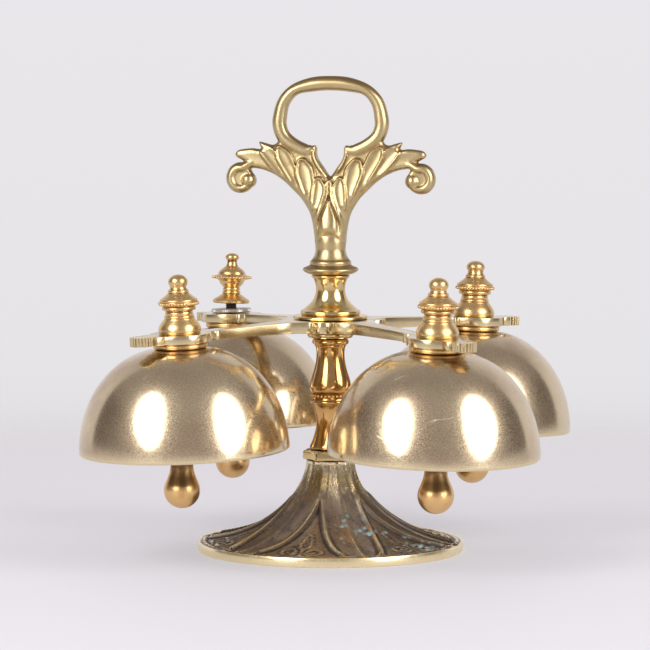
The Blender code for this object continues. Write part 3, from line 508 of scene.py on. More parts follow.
def metal(name, colour, tarnish, dark_dirt_and_shade, roughness, patch=(60.0, 0.45, 0.68), lines=0.0,
          scratches=0.0, specks=0.0, grain=0.0, recess_and_shade=(0.62, 0.85), wear_and_reflection=None, haze=0.0,
          nicks=0.0, green=0.0):
    """One metal finish: cloudy tarnish, a dark colour for dirt in hollows and for painted shade,
    rubbed crests and painted reflections, lathe rings and marks.

    patch is the tarnish's scale, start and end. recess_and_shade is where the dark colour starts
    and is full. wear_and_reflection is the colour of rubbed crests and of painted reflections, the
    stored depth where they start and are full, their change of roughness and how uneven they are.
    The numbers after it are strengths.
    """
    material = bpy.data.materials.new(f"worn_{name}")
    material.use_nodes = True
    material.diffuse_color = (*colour, 1.0)
    tree = material.node_tree
    shader = tree.nodes["Principled BSDF"]
    shader.inputs["Metallic"].default_value = 1.0
    place = node(tree, "ShaderNodeTexCoord").outputs["Object"]

    def attribute(label):
        return node(tree, "ShaderNodeAttribute", attribute_name=label).outputs["Fac"]

    def placed(label, **inputs):
        """A shader group, on the piece's own coordinates where it takes them."""
        group = node(tree, "ShaderNodeGroup", inputs, node_tree=bpy.data.node_groups[label])
        if "Vector" in group.inputs:
            tree.links.new(place, group.inputs["Vector"])
        return group.outputs[0]

    def added(value, start, weight):
        return maths(tree, "MULTIPLY_ADD", value, weight, start)

    cloud = placed("Cloudy Tarnish", Scale=patch[0], Low=patch[1], High=patch[2])
    tint = mixed(tree, cloud, colour, tarnish)
    rough = added(cloud, roughness, 0.07)
    height = None
    # The stored depth brings in one dark colour: dirt and tarnish in hollows, and painted shade
    # where a piece stores it (bell insides, clapper tops, handle tops).
    depth = attribute("recess_and_shade")
    dirt_and_shade_mask = placed("Settled Dirt", Recess=depth, Low=recess_and_shade[0], High=recess_and_shade[1])
    tint = mixed(tree, dirt_and_shade_mask, tint, dark_dirt_and_shade)
    rough = added(dirt_and_shade_mask, rough, 0.18)
    # Crest colour: rubbed wear on the foot's ridges, and on the bells a painted reflection of the
    # floor along the lip.
    if wear_and_reflection:
        bright, start, full, shine, uneven = wear_and_reflection
        scattered = added(noise(tree, place, 320.0, 3.0), depth, uneven)
        rub_and_reflection_level = maths(tree, "SUBTRACT", scattered, 0.5 * uneven)
        crest_and_reflection = spread(tree, rub_and_reflection_level, start, full, "SMOOTHSTEP")
        tint = mixed(tree, crest_and_reflection, tint, bright)
        rough = added(crest_and_reflection, rough, shine)
    if specks:
        tint = mixed(tree, added(placed("Specks"), 0.0, specks), tint, dark_dirt_and_shade)
    if green:
        damp = placed("Cloudy Tarnish", Scale=26.0, Low=0.56, High=0.63)
        damp = maths(tree, "MULTIPLY", damp, spread(tree, depth, 0.0, 0.2))
        spots = placed("Specks", Scale=280.0, Size=0.45)
        grown = maths(tree, "MULTIPLY", damp, added(spots, 0.0, 2.0 * green))
        grown = node(tree, "ShaderNodeClamp", {"Value": grown}).outputs[0]
        tint = mixed(tree, grown, tint, VERDIGRIS)
        tree.links.new(added(grown, 1.0, -1.0), shader.inputs["Metallic"])
    if lines:
        height = added(placed("Turning Lines", Turn=attribute("turn")), 0.0, lines)
    if scratches:
        marks = placed("Fine Scratches")
        height = added(marks, height or 0.0, -scratches)
        rough = added(marks, rough, 0.08)
    if haze:
        rough = added(spread(tree, noise(tree, place, 4500.0, 3.0), 0.45, 0.59), rough, haze)
    if nicks:
        cuts = placed("Long Scratches")
        tint = mixed(tree, added(cuts, 0.0, nicks), tint, FRESH_CUT)
        rough = added(cuts, rough, 0.3)
    if grain:
        height = added(noise(tree, place, 1400.0, 4.0), height or 0.0, grain)
    tree.links.new(tint, shader.inputs["Base Color"])
    tree.links.new(rough, shader.inputs["Roughness"])
    if height:
        bump = node(tree, "ShaderNodeBump",
                    {"Height": height, "Strength": 0.5, "Distance": 0.012 * MM})
        tree.links.new(bump.outputs["Normal"], shader.inputs["Normal"])


class AltarBellSizes(bpy.types.PropertyGroup):
    """Sizes of the dressed detail."""
    foot_relief: bpy.props.FloatProperty(
        name="Foot relief", description="Height of the cast pattern on the foot",
        default=0.9 * MM, unit="LENGTH")
    foot_wall: bpy.props.FloatProperty(
        name="Foot wall", description="Thickness of the foot's casting",
        default=2.6 * MM, unit="LENGTH")
    stem_beads: bpy.props.IntProperty(
        name="Stem beads", description="Beads round the stem's knop", default=30)
    finial_beads: bpy.props.IntProperty(
        name="Finial beads", description="Beads round each finial's ring", default=38)
    fan_ribs: bpy.props.IntProperty(
        name="Fan ribs", description="Ribs round the fan at an arm's end", default=17)
    bell_wall: bpy.props.FloatProperty(
        name="Bell wall", description="Thickness of a bell's wall",
        default=2.0 * MM, unit="LENGTH")
    casting_grain: bpy.props.FloatProperty(
        name="Casting step", description="Finest detail of the handle casting",
        default=0.38 * MM, unit="LENGTH")
    edge_round: bpy.props.FloatProperty(
        name="Edge rounding", description="Rounding of the cross's cast edges",
        default=0.5 * MM, unit="LENGTH")


class AltarBellFinishes(bpy.types.PropertyGroup):
    """Colours of the metals and the floor."""
    pale_brass: bpy.props.FloatVectorProperty(
        name="Pale brass", description="Handle casting",
        subtype="COLOR", default=(0.58, 0.46, 0.25))
    deep_brass: bpy.props.FloatVectorProperty(
        name="Deep brass", description="Socket, collar and washer under the cross",
        subtype="COLOR", default=(0.75, 0.57, 0.28))
    orange_brass: bpy.props.FloatVectorProperty(
        name="Orange brass", description="Finials, discs, nuts and stirrups",
        subtype="COLOR", default=(0.78, 0.55, 0.26))
    bell_bronze: bpy.props.FloatVectorProperty(
        name="Bell bronze", description="Bells",
        subtype="COLOR", default=(0.705, 0.58, 0.39))
    clapper_bronze: bpy.props.FloatVectorProperty(
        name="Clapper bronze", description="Clappers",
        subtype="COLOR", default=(0.84, 0.54, 0.24))
    foot_patina: bpy.props.FloatVectorProperty(
        name="Foot patina", description="Dark cast foot",
        subtype="COLOR", default=(0.58, 0.47, 0.36))
    steel: bpy.props.FloatVectorProperty(
        name="Steel", description="The thin knurled nut",
        subtype="COLOR", default=(0.62, 0.61, 0.60))
    dark_steel: bpy.props.FloatVectorProperty(
        name="Dark steel", description="Studs, pins and the tie rod",
        subtype="COLOR", default=(0.20, 0.18, 0.16))
    floor: bpy.props.FloatVectorProperty(
        name="Floor", description="Pale floor of the stage",
        subtype="COLOR", default=(0.785, 0.772, 0.83))


class AltarBellStage(bpy.types.PropertyGroup):
    """Camera and lights."""
    camera_distance: bpy.props.FloatProperty(
        name="Camera distance", description="From the middle of the object",
        default=1.8, unit="LENGTH")
    camera_azimuth: bpy.props.FloatProperty(
        name="Camera azimuth", description="Turn of the camera from the front",
        default=math.radians(10), subtype="ANGLE")
    camera_elevation: bpy.props.FloatProperty(
        name="Camera elevation", description="Height of the camera as an angle",
        default=math.radians(4.7), subtype="ANGLE")
    softbox_power: bpy.props.FloatProperty(
        name="Softbox power", description="Power of each of the two softboxes",
        default=12.5, unit="POWER")


class ALTARBELL_OT_finishes(bpy.types.Operator):
    """Make the shader groups and the metal finishes"""
    bl_idname = "altar_bell.finishes"
    bl_label = "Metal finishes"

    def execute(self, context):
        for make in (tarnish_group, scratch_group, turning_group, speck_group, nick_group,
                     dirt_and_painted_shade_group):
            make()
        tint = context.scene.altar_bell_finishes
        polished = {"patch": (70.0, 0.40, 0.80), "lines": 0.25, "scratches": 0.25}
        metal("pale_brass", tint.pale_brass, (0.49, 0.38, 0.19), (0.27, 0.18, 0.08), 0.31,
              patch=(70.0, 0.40, 0.74), scratches=0.5, grain=0.9, recess_and_shade=(0.55, 0.85))
        metal("deep_brass", tint.deep_brass, (0.62, 0.44, 0.19), (0.20, 0.12, 0.04), 0.16,
              **polished)
        metal("stem_brass", (0.70, 0.42, 0.16), (0.58, 0.33, 0.11), (0.20, 0.11, 0.03), 0.11,
              **polished)
        metal("cross_brass", (0.73, 0.61, 0.38), (0.64, 0.51, 0.29), (0.20, 0.12, 0.04), 0.18,
              patch=(80.0, 0.40, 0.75), scratches=0.5, grain=0.5)
        metal("orange_brass", tint.orange_brass, (0.62, 0.39, 0.18), (0.22, 0.12, 0.05), 0.27,
              patch=(110.0, 0.42, 0.75), lines=0.4, scratches=0.4)
        # On the bells the crest colour is a painted reflection of the floor along the lip, and the
        # dark colour is painted shade inside.
        metal("bell_bronze", tint.bell_bronze, (0.57, 0.435, 0.30), (0.24, 0.17, 0.09), 0.08,
              patch=(45.0, 0.40, 0.70), lines=0.35, scratches=0.8, specks=0.7, grain=0.6,
              wear_and_reflection=((0.80, 0.66, 0.42), 0.45, 0.05, 0.0, 0.2), haze=0.24, nicks=0.7)
        metal("clapper_bronze", tint.clapper_bronze, (0.64, 0.37, 0.14), (0.28, 0.16, 0.07),
              0.30, patch=(120.0, 0.42, 0.78), lines=0.3, scratches=0.5)
        metal("foot_patina", tint.foot_patina, (0.43, 0.36, 0.32), (0.17, 0.135, 0.115), 0.36,
              patch=(95.0, 0.42, 0.60), grain=0.9, recess_and_shade=(0.50, 0.85),
              wear_and_reflection=((0.97, 0.83, 0.51), 0.40, 0.10, -0.14, 0.6), green=0.8)
        metal("steel", tint.steel, (0.46, 0.44, 0.42), (0.16, 0.14, 0.12), 0.30, scratches=0.5)
        metal("dark_steel", tint.dark_steel, (0.12, 0.10, 0.09), (0.05, 0.04, 0.03), 0.45,
              grain=0.4)
        return {"FINISHED"}


class ALTARBELL_OT_stage(bpy.types.Operator):
    """Set up the camera, the two softboxes, the pale floor and the world"""
    bl_idname = "altar_bell.stage"
    bl_label = "Stage"

    def execute(self, context):
        scene = context.scene
        view = scene.altar_bell_stage
        scene.view_settings.view_transform = "Standard"

        def towards(turn, lift):
            """Unit direction at an angle round from the camera and up."""
            a = view.camera_azimuth + turn
            return Vector((math.cos(lift) * math.sin(a), -math.cos(lift) * math.cos(a),
                           math.sin(lift)))

        def aimed(name, data, turn, lift, distance, lean):
            """A camera or lamp that looks at the middle of the object."""
            holder = bpy.data.objects.new(name, data)
            holder.location = TARGET + towards(turn, lift) * distance
            aim = (TARGET - holder.location).to_track_quat("-Z", "Y")
            holder.rotation_euler = (aim @ Quaternion((0, 0, 1), math.radians(lean))).to_euler()
            scene.collection.objects.link(holder)
            return holder

        camera = bpy.data.cameras.new("photo_view")
        camera.sensor_width = 36.0
        camera.lens = LENS_PER_METRE * view.camera_distance
        camera.shift_x = SHIFT_PIXELS / PHOTO_SIZE
        scene.camera = aimed("photo_view", camera, 0, view.camera_elevation,
                             view.camera_distance, 0)
        for name, turn, lift, lean, size in (("softbox_left", -43, 28, 20, (0.74, 1.32)),
                                             ("softbox_right", 55, 25, -20, (0.86, 1.44))):
            lamp = bpy.data.lights.new(name, "AREA")
            lamp.shape, lamp.size, lamp.size_y = "ELLIPSE", *size
            lamp.energy = view.softbox_power
            lamp.color = (1.0, 0.985, 0.96)
            aimed(name, lamp, math.radians(turn), math.radians(lift), LAMP_DISTANCE, lean)
        self.make_world(scene, towards(0, 0))
        self.make_floor(scene)
        return {"FINISHED"}

    def make_world(self, scene, front):
        """A pale backdrop behind the object, a dimmer room overhead and on the camera's side."""
        world = bpy.data.worlds.new("pale_room")
        world.use_nodes = True
        scene.world = world
        tree = world.node_tree
        way = node(tree, "ShaderNodeTexCoord").outputs["Generated"]
        height = node(tree, "ShaderNodeSeparateXYZ", {"Vector": way}).outputs["Z"]
        facing = node(tree, "ShaderNodeVectorMath", {0: way, 1: tuple(front)},
                      operation="DOT_PRODUCT").outputs["Value"]
        levels = [(-1.0, 0.68), (-0.15, 0.68), (-0.09, 0.79), (0.04, 0.83), (0.25, 0.82),
                  (0.5, 0.72), (1.0, 0.34)]
        up = self.ramp(tree, height, [((z + 1) / 2, level) for z, level in levels], 0.06)
        side = self.ramp(tree, facing, [(0.0, 1.0), (0.245, 1.0), (0.28, 0.20), (0.45, 0.24),
                                        (0.7, 0.42), (0.95, 0.48)], 0.11)
        wall = spread(tree, height, 0.95, 0.45)
        above = spread(tree, height, -0.09, 0.01)
        room = maths(tree, "MULTIPLY", wall, above)
        tree.links.new(mixed(tree, room, up, side, "MULTIPLY"),
                       tree.nodes["Background"].inputs["Color"])

    def ramp(self, tree, value, stops, warmth):
        """Greys over a value from -1 to 1: pale ones a trace lavender, dim ones warmer."""
        made = node(tree, "ShaderNodeValToRGB", {"Fac": spread(tree, value, -1.0, 1.0)})
        elements = made.color_ramp.elements
        while len(elements) < len(stops):
            elements.new(1.0)
        for element, (place, level) in zip(elements, stops):
            element.position = place
            warm = warmth * min(1.0, max(0.0, (0.8 - level) / 0.5))
            element.color = (level, level * (0.985 - warm),
                             min(1.0, level * (1.01 - 1.5 * warm)), 1.0)
        return made.outputs["Color"]

    def make_floor(self, scene):
        """A pale disc that fades into the room at its edge.

        To the eye and in reflections half of its tone is its own and half is light and shadow.
        """
        rings = np.concatenate([[0.001], np.linspace(20, 900, 45)])
        mesh = turned(np.stack([rings, np.zeros_like(rings)], axis=1), 96)
        mesh.name = "floor"
        floor = bpy.data.objects.new("floor", mesh)
        scene.collection.objects.link(floor)
        material = bpy.data.materials.new("floor_paper")
        material.use_nodes = True
        tree = material.node_tree
        shader = tree.nodes["Principled BSDF"]
        place = node(tree, "ShaderNodeTexCoord").outputs["Object"]
        far = node(tree, "ShaderNodeVectorMath", {0: place}, operation="LENGTH").outputs["Value"]
        rays = node(tree, "ShaderNodeLightPath").outputs
        seen = maths(tree, "MAXIMUM", rays["Is Camera Ray"], rays["Is Glossy Ray"])
        seen = maths(tree, "MAXIMUM", seen, rays["Is Transmission Ray"])
        colour, lit_share, own_glow = scene.altar_bell_finishes.floor, 0.5, 0.37
        for label, socket in (
                ("Base Color", mixed(tree, seen, colour, [lit_share * c for c in colour])),
                ("Emission Strength", maths(tree, "MULTIPLY", seen, own_glow)),
                ("Alpha", spread(tree, far, 0.75, 0.25, "SMOOTHERSTEP"))):
            tree.links.new(socket, shader.inputs[label])
        shader.inputs["Emission Color"].default_value = (0.985, 0.95, 1.0, 1.0)
        shader.inputs["Roughness"].default_value = 0.6
        shader.inputs["Specular IOR Level"].default_value = 0.2
        mesh.materials.append(material)
        mesh.update()
        if mesh.polygons[0].normal.z < 0:
            mesh.flip_normals()


def foot_profile(rows):
    """The foot's outer curve from rim to neck at even steps: radius, height, share, way up."""
    rim, neck, power = reach("foot"), 10.8, 10 / 3
    low, high = 4.3, top("foot")
    angle = np.linspace(0, math.pi / 2, 2000)
    radius = neck + (rim - neck) * np.cos(angle) ** power
    height = low + (high - low) * np.sin(angle) ** power
    way = way_along(np.stack([radius, height], axis=1))
    even = np.linspace(0, way[-1], rows)
    share = angle / (math.pi / 2)
    return [np.interp(even, way, values) for values in (radius, height, share)] + [even]


def near(x, y, path):
    """Distance of each point to a path of close points."""
    gap = np.full(x.shape, 1e9)
    for px, py in path:
        gap = np.minimum(gap, (x - px) ** 2 + (y - py) ** 2)
    return np.sqrt(gap)


def ridge(gap, width):
    """A rounded ridge of height 1 along a line."""
    return np.exp(-(gap / width) ** 2)


def foot_relief(turn, radius, share, way, rng):
    """Height of the cast pattern: six pointed arches with scrolls, leaves between, fluted neck."""
    panel = math.tau / 6
    half = panel / 2
    phi = (turn - math.radians(25) + half) % panel - half
    x = phi * radius
    rise = np.clip(1 - share / 0.64, 0, 1)
    arch = half * (0.02 + 0.86 * rise ** 0.8) * radius
    inside = arch - np.abs(x)
    low = np.clip(share / 0.10, 0, 1)
    high = np.clip((0.68 - share) / 0.06, 0, 1)
    body = low * high
    grain = rng.normal(0, 1, x.shape)
    grain = (grain + np.roll(grain, 1, 0) + np.roll(grain, 1, 1)
             + np.roll(np.roll(grain, 1, 0), 1, 1)) / 4
    moulding = 1.25 * ridge(inside, 1.1) - 0.45 * ridge(inside - 2.3, 1.0)
    relief = body * soft_step((way - 2.8) / 3.2) * moulding
    ground = np.clip((inside - 2.6) / 1.0, 0, 1) * body
    relief += ground * (-0.30 + 0.10 * grain)
    scroll = np.concatenate([arc((5.4, 9.4), 3.6, -160, 120, 30),
                             arc((4.2, 10.2), 1.8, 120, 330, 16)])
    stalk = curve([(0.4, 12.5), (2.2, 17.0), (1.8, 22.0), (0.5, 27.0)])
    stem = np.stack([np.zeros(20), np.linspace(5, 13, 20)], axis=1)
    for side in (-1, 1):
        relief += 0.6 * ground * ridge(near(side * x, way, scroll), 0.8)
        relief += 0.35 * ground * ridge(near(side * x, way, stalk), 0.8)
    relief += 0.45 * ground * ridge(near(x, way, stem), 0.9)
    across = np.abs(np.abs(phi) - half) * radius
    room = half * radius - arch
    beside = np.clip((-inside - 0.8) / 1.5, 0, 1) * low * np.clip((0.97 - share) / 0.05, 0, 1)
    flute = 0.5 * ridge(across - 0.5 * room, 0.34 * room + 0.6)
    relief += beside * (0.4 * ridge(across, 1.4) - flute + 0.04 * grain)
    relief += 0.5 * ridge(way - 2.6, 0.8) - 0.3 * ridge(way - 4.3, 0.7)
    relief += np.clip(share / 0.05, 0, 1) * 0.03 * grain
    return relief


class ALTARBELL_OT_foot(bpy.types.Operator):
    """Cast foot: trumpet with arches, scrolls and leaves in relief, bright rim, hollow below"""
    bl_idname = "altar_bell.foot"
    bl_label = "Foot"

    def execute(self, context):
        sizes = context.scene.altar_bell_sizes
        radius, height, share, way = foot_profile(FOOT_ROWS)
        run = np.stack([np.gradient(radius), np.gradient(height)], axis=1)
        run /= np.linalg.norm(run, axis=1)[:, None]
        turn = whole_turn(FOOT_COLUMNS)
        lift = foot_relief(turn[None, :], radius[:, None], share[:, None], way[:, None],
                           np.random.default_rng(4))
        lift = lift * sizes.foot_relief / MM
        lift[0] = lift[-1] = 0.0
        carved = around(radius[:, None] + lift * run[:, 1:], height[:, None] - lift * run[:, :1],
                        turn)
        rim = reach("foot")
        band = np.array([(rim - 0.7, 0.0), (rim - 0.15, 0.25), (rim, 0.8), (rim, 3.4),
                         (rim - 0.2, 4.1)])
        inside = self.cavity(rim, radius, height, run, sizes.foot_wall / MM)
        sections = np.vstack([around(band[:, :1], band[:, 1:], turn), carved,
                              around(inside[:, :1], inside[:, 1:], turn)])
        mesh = tidy(skin(sections, loop=True), merge=False)
        depth = hollows(mesh, 6, 2.8).reshape(len(sections), FOOT_COLUMNS)
        rows = slice(len(band), len(band) + FOOT_ROWS)
        depth[:rows.start], depth[rows.stop:] = -0.15, 0.62
        depth[rows] = self.wear(depth[rows], share[:, None], way[:, None])
        store(mesh, "recess_and_shade", depth.ravel())
        dress("cast_foot", mesh, "stand", "foot_patina", ["foot"])
        return {"FINISHED"}

    def cavity(self, rim, radius, height, run, wall):
        """Outline of the hollow below, from the rod's bore down to the rim's inner edge."""
        high = top("foot")
        ceiling = high - 8.0
        inner_r, inner_z = radius - wall * run[:, 1], height + wall * run[:, 0]
        keep = (inner_r < rim - 4.6) & (inner_z < ceiling) & (inner_z > 0.4)
        slope = np.stack([inner_r[keep], inner_z[keep]], axis=1)[::8]
        crown = [(ROD_BORE, high), (ROD_BORE, ceiling), (slope[-1, 0] - 0.6, ceiling)]
        return np.vstack([crown, slope[::-1], [(rim - 4.6, 0.5), (rim - 4.2, 0.0)]])

    def wear(self, depth, share, way):
        """The stored recess: polished at the rim, dark up the neck with flecks rubbed bright."""
        polish = np.clip(1 - (way - 0.5) / 1.2, 0, 1)
        depth = depth * (1 - polish) - 0.15 * polish
        fleck = np.random.default_rng(9).normal(0, 1, depth.shape)
        for axis, rounds in ((1, 5), (0, 18)):
            for _ in range(rounds):
                fleck = (2 * fleck + np.roll(fleck, 1, axis) + np.roll(fleck, -1, axis)) / 4
        fleck = 0.64 + 0.36 * soft_step(fleck / fleck.std() - 0.1)
        fleck *= soft_step((share - 0.55) / 0.3) * soft_step((0.97 - share) / 0.05)
        depth += 0.3 * soft_step((share - 0.65) / 0.25) - 0.85 * fleck
        depth[share[:, 0] > 0.95] = 0.7
        return depth


class ALTARBELL_OT_column(bpy.types.Operator):
    """Turned column: hexagon collar, beaded stem, washer under the cross, the handle's socket"""
    bl_idname = "altar_bell.column"
    bl_label = "Column"

    def execute(self, context):
        self.make_collar()
        self.make_stem(context.scene.altar_bell_sizes)
        self.make_washer()
        self.make_socket()
        return {"FINISHED"}

    def make_collar(self):
        """Six-sided collar with softly worn edges and a coned top."""
        low, high = base("hex_collar"), top("hex_collar")
        angles = whole_turn(144)
        flat = 12.6 * math.cos(math.pi / 6)
        corner = (angles - math.radians(9)) % (math.pi / 3) - math.pi / 6
        hexagon = np.minimum(flat / np.cos(corner), 12.42)
        rings = [(hexagon + grown, low + level)
                 for level, grown in ((0.0, -0.4), (0.35, 0.0), (2.9, 0.0), (3.3, -0.12))]
        rings += [(np.minimum(hexagon - 0.3, 12.4 - 1.6 * (level - 3.2)), low + level)
                  for level in (3.5, 3.9, 4.3)]
        rings += [(8.6, high), (ROD_BORE, high), (ROD_BORE, low)]
        mesh = skin([around(radius, level, angles) for radius, level in rings], loop=True)
        dress("hexagon_collar", tidy(mesh), "stand", "deep_brass", ["hex_collar"], sharp=25)

    def make_stem(self, sizes):
        """Baluster with a beaded knop."""
        low = base("stem")
        lower = curve([(9.4, 0.8), (8.7, 2.2), (7.6, 5.2), (6.65, 9.0), (6.4, 12.6),
                       (6.75, 15.8), (7.3, 18.0), (7.9, 19.2), (8.4, 19.9)])
        knop = np.vstack([arc((7.95, 20.95), 0.9, -60, 70, 7),
                          [(8.0, 22.3), (7.9, 22.7), (7.9, 24.9), (8.0, 25.2)]])
        upper = curve([(8.5, 25.5), (8.95, 26.4), (9.2, 27.6), (9.05, 29.2), (8.5, 31.6),
                       (7.35, 35.3), (6.5, 39.4), (6.3, 43.2), (6.7, 45.6)])
        collar = np.vstack([[(7.1, 46.0)], arc((6.75, 47.9), 1.5, -75, 90, 10), [(6.2, 49.4)]])
        foot = [(8.6, 0.0), (9.2, 0.15), (9.4, 0.45)]
        outline = np.vstack([foot, lower, knop, upper, collar]) + (0, low)
        mesh = turned(bored(outline, ROD_BORE), 96, loop=True)
        store(mesh, "recess_and_shade", hollows(mesh, 6, 1.3))
        dress("stem_baluster", mesh, "stand", "stem_brass", ["stem"])
        beads = bead_ring("stem_brass", sizes.stem_beads, 8.45, 0.8)
        dress("stem_beads", beads, "stand", "stem_brass",
              at=Matrix.Translation((0, 0, (low + 23.8) * MM)), sharp=80)

    def make_washer(self):
        """Thin round-edged washer under the cross."""
        rim = reach("hub_washer")
        outline = np.vstack([[(9.0, 0), (rim - 0.5, 0.1)], arc((rim - 1.1, 1.4), 1.1, -60, 70, 8),
                             [(9.2, 2.7), (8.8, 3.0)]]) + (0, base("hub_washer"))
        dress("hub_washer_turned", turned(bored(outline, ROD_BORE), 72, loop=True), "stand",
              "deep_brass", ["hub_washer"])

    def make_socket(self):
        """Socket with a stepped flange, a waist and a flared lip."""
        flange = np.vstack([[(16.0, 0.0), (16.5, 0.15)], arc((16.1, 0.75), 0.6, -40, 90, 6),
                            [(14.6, 1.45), (13.1, 1.6)]])
        ring = arc((12.3, 2.75), 1.15, -70, 80, 8)
        waist = curve([(12.0, 4.1), (10.9, 5.1), (9.3, 6.5), (8.0, 8.1), (7.1, 9.9), (6.6, 12.0),
                       (6.6, 14.2), (6.95, 16.0), (7.6, 17.6), (8.2, 18.3)])
        lip = np.vstack([arc((7.95, 18.9), 0.65, -50, 90, 6), [(7.2, 19.6)]])
        outline = np.vstack([flange, ring, waist, lip]) + (0, base("handle_socket"))
        dress("socket_turned", turned(bored(outline, ROD_BORE), 96, loop=True), "stand",
              "deep_brass", ["handle_socket"])


class ALTARBELL_OT_cross(bpy.types.Operator):
    """Cast cross: the frame's own shape with rounded edges and ribbed fans on the four tips"""
    bl_idname = "altar_bell.cross"
    bl_label = "Cross"

    def execute(self, context):
        sizes = context.scene.altar_bell_sizes
        bm = bmesh.new()
        bm.from_mesh(frame["nodes"]["cross_spider"].data)
        bmesh.ops.remove_doubles(bm, verts=bm.verts, dist=0.01 * MM)
        bmesh.ops.dissolve_limit(bm, angle_limit=math.radians(0.6), verts=bm.verts,
                                 edges=bm.edges)
        mesh = bpy.data.meshes.new("cross")
        bm.to_mesh(mesh)
        bm.free()
        mesh = shaped(mesh, ("BEVEL", {"width": sizes.edge_round, "segments": 3,
                                       "limit_method": "ANGLE",
                                       "angle_limit": math.radians(40),
                                       "harden_normals": False}))
        dress("cast_cross", mesh, "stand", "cross_brass", ["cross_spider"], sharp=50)
        fan_out, fan_level = 19.5, -1.9
        ribs = []
        for corner in CORNERS:
            fan = grow("Fan Ribs", "cross_brass",
                       {"Ribs": sizes.fan_ribs, "Fan Radius": 4.82 * MM, "Rib Radius": 0.58 * MM,
                        "Rib Height": 3.9 * MM})
            fan.transform(station(corner)
                          @ Matrix.Translation((fan_out * MM, 0, fan_level * MM)))
            ribs.append(fan)
        dress("fan_ribs", join(ribs), "stand", "cross_brass", sharp=50)
        return {"FINISHED"}


def closest(points, outline):
    """Distance of points to a closed outline, and the nearest places on it."""
    gap, spot = np.full(len(points), 1e9), points.copy()
    for start, end in zip(outline, np.roll(outline, -1, axis=0)):
        run = end - start
        share = np.clip((points - start) @ run / max(run @ run, 1e-9), 0, 1)
        place = start + share[:, None] * run
        far = ((points - place) ** 2).sum(axis=1)
        nearer = far < gap
        gap[nearer], spot[nearer] = far[nearer], place[nearer]
    return np.sqrt(gap), spot


def within(points, outline):
    """Which points lie inside a closed outline."""
    inside = np.zeros(len(points), bool)
    x, z = points.T
    for (ax, az), (bx, bz) in zip(outline, np.roll(outline, -1, axis=0)):
        crosses = (az > z) != (bz > z)
        inside ^= crosses & (x < ax + (z - az) * (bx - ax) / (bz - az if bz != az else 1e-9))
    return inside


def lay(relief, x, z, path, lift, rim, cup):
    """Lay a cupped leaf with a raised rim over a relief.

    Its path is (x, z, half width) from root to tip.
    """
    line = curve(path, 8)
    gap = (x[:, None] - line[:, 0]) ** 2 + (z[:, None] - line[:, 1]) ** 2
    nearest = gap.argmin(axis=1)
    u = np.sqrt(gap.min(axis=1)) / np.maximum(line[nearest, 2], 0.2)
    root = soft_step(nearest / (0.3 * len(line)))
    edge = rim * np.exp(-((u - 0.86) / 0.17) ** 2)
    leaf = root * (lift + edge - cup * np.clip(1 - u ** 2, 0, 1))
    cover = soft_step((1.06 - u) / 0.16) * (0.15 + 0.85 * root)
    return relief * (1 - cover) + leaf * cover


def bar(path, crease=0.0, steps=6, sides=28):
    """A rounded bar along a path of (x, z, half width, half depth), creased on its inner side."""
    line = curve(path, steps)
    run = np.gradient(line[:, :2], axis=0)
    run /= np.linalg.norm(run, axis=1)[:, None]
    angles = np.linspace(-math.pi, math.pi, sides, endpoint=False)
    swell = 1 + crease * np.exp(-((np.abs(angles) - 2.2) / 0.22) ** 2)
    sections = []
    for (x, z, half, deep), (rx, rz) in zip(line, run):
        w = half * np.cos(angles) * swell
        sections.append(np.stack([x - rz * w, deep * np.sin(angles) * swell, z + rx * w], axis=1))
    return skin(sections)


def flipped(mesh):
    """The same shape on the other side of the handle."""
    twin = mesh.copy()
    twin.transform(Matrix.Scale(-1, 4, (1, 0, 0)))
    twin.flip_normals()
    return twin


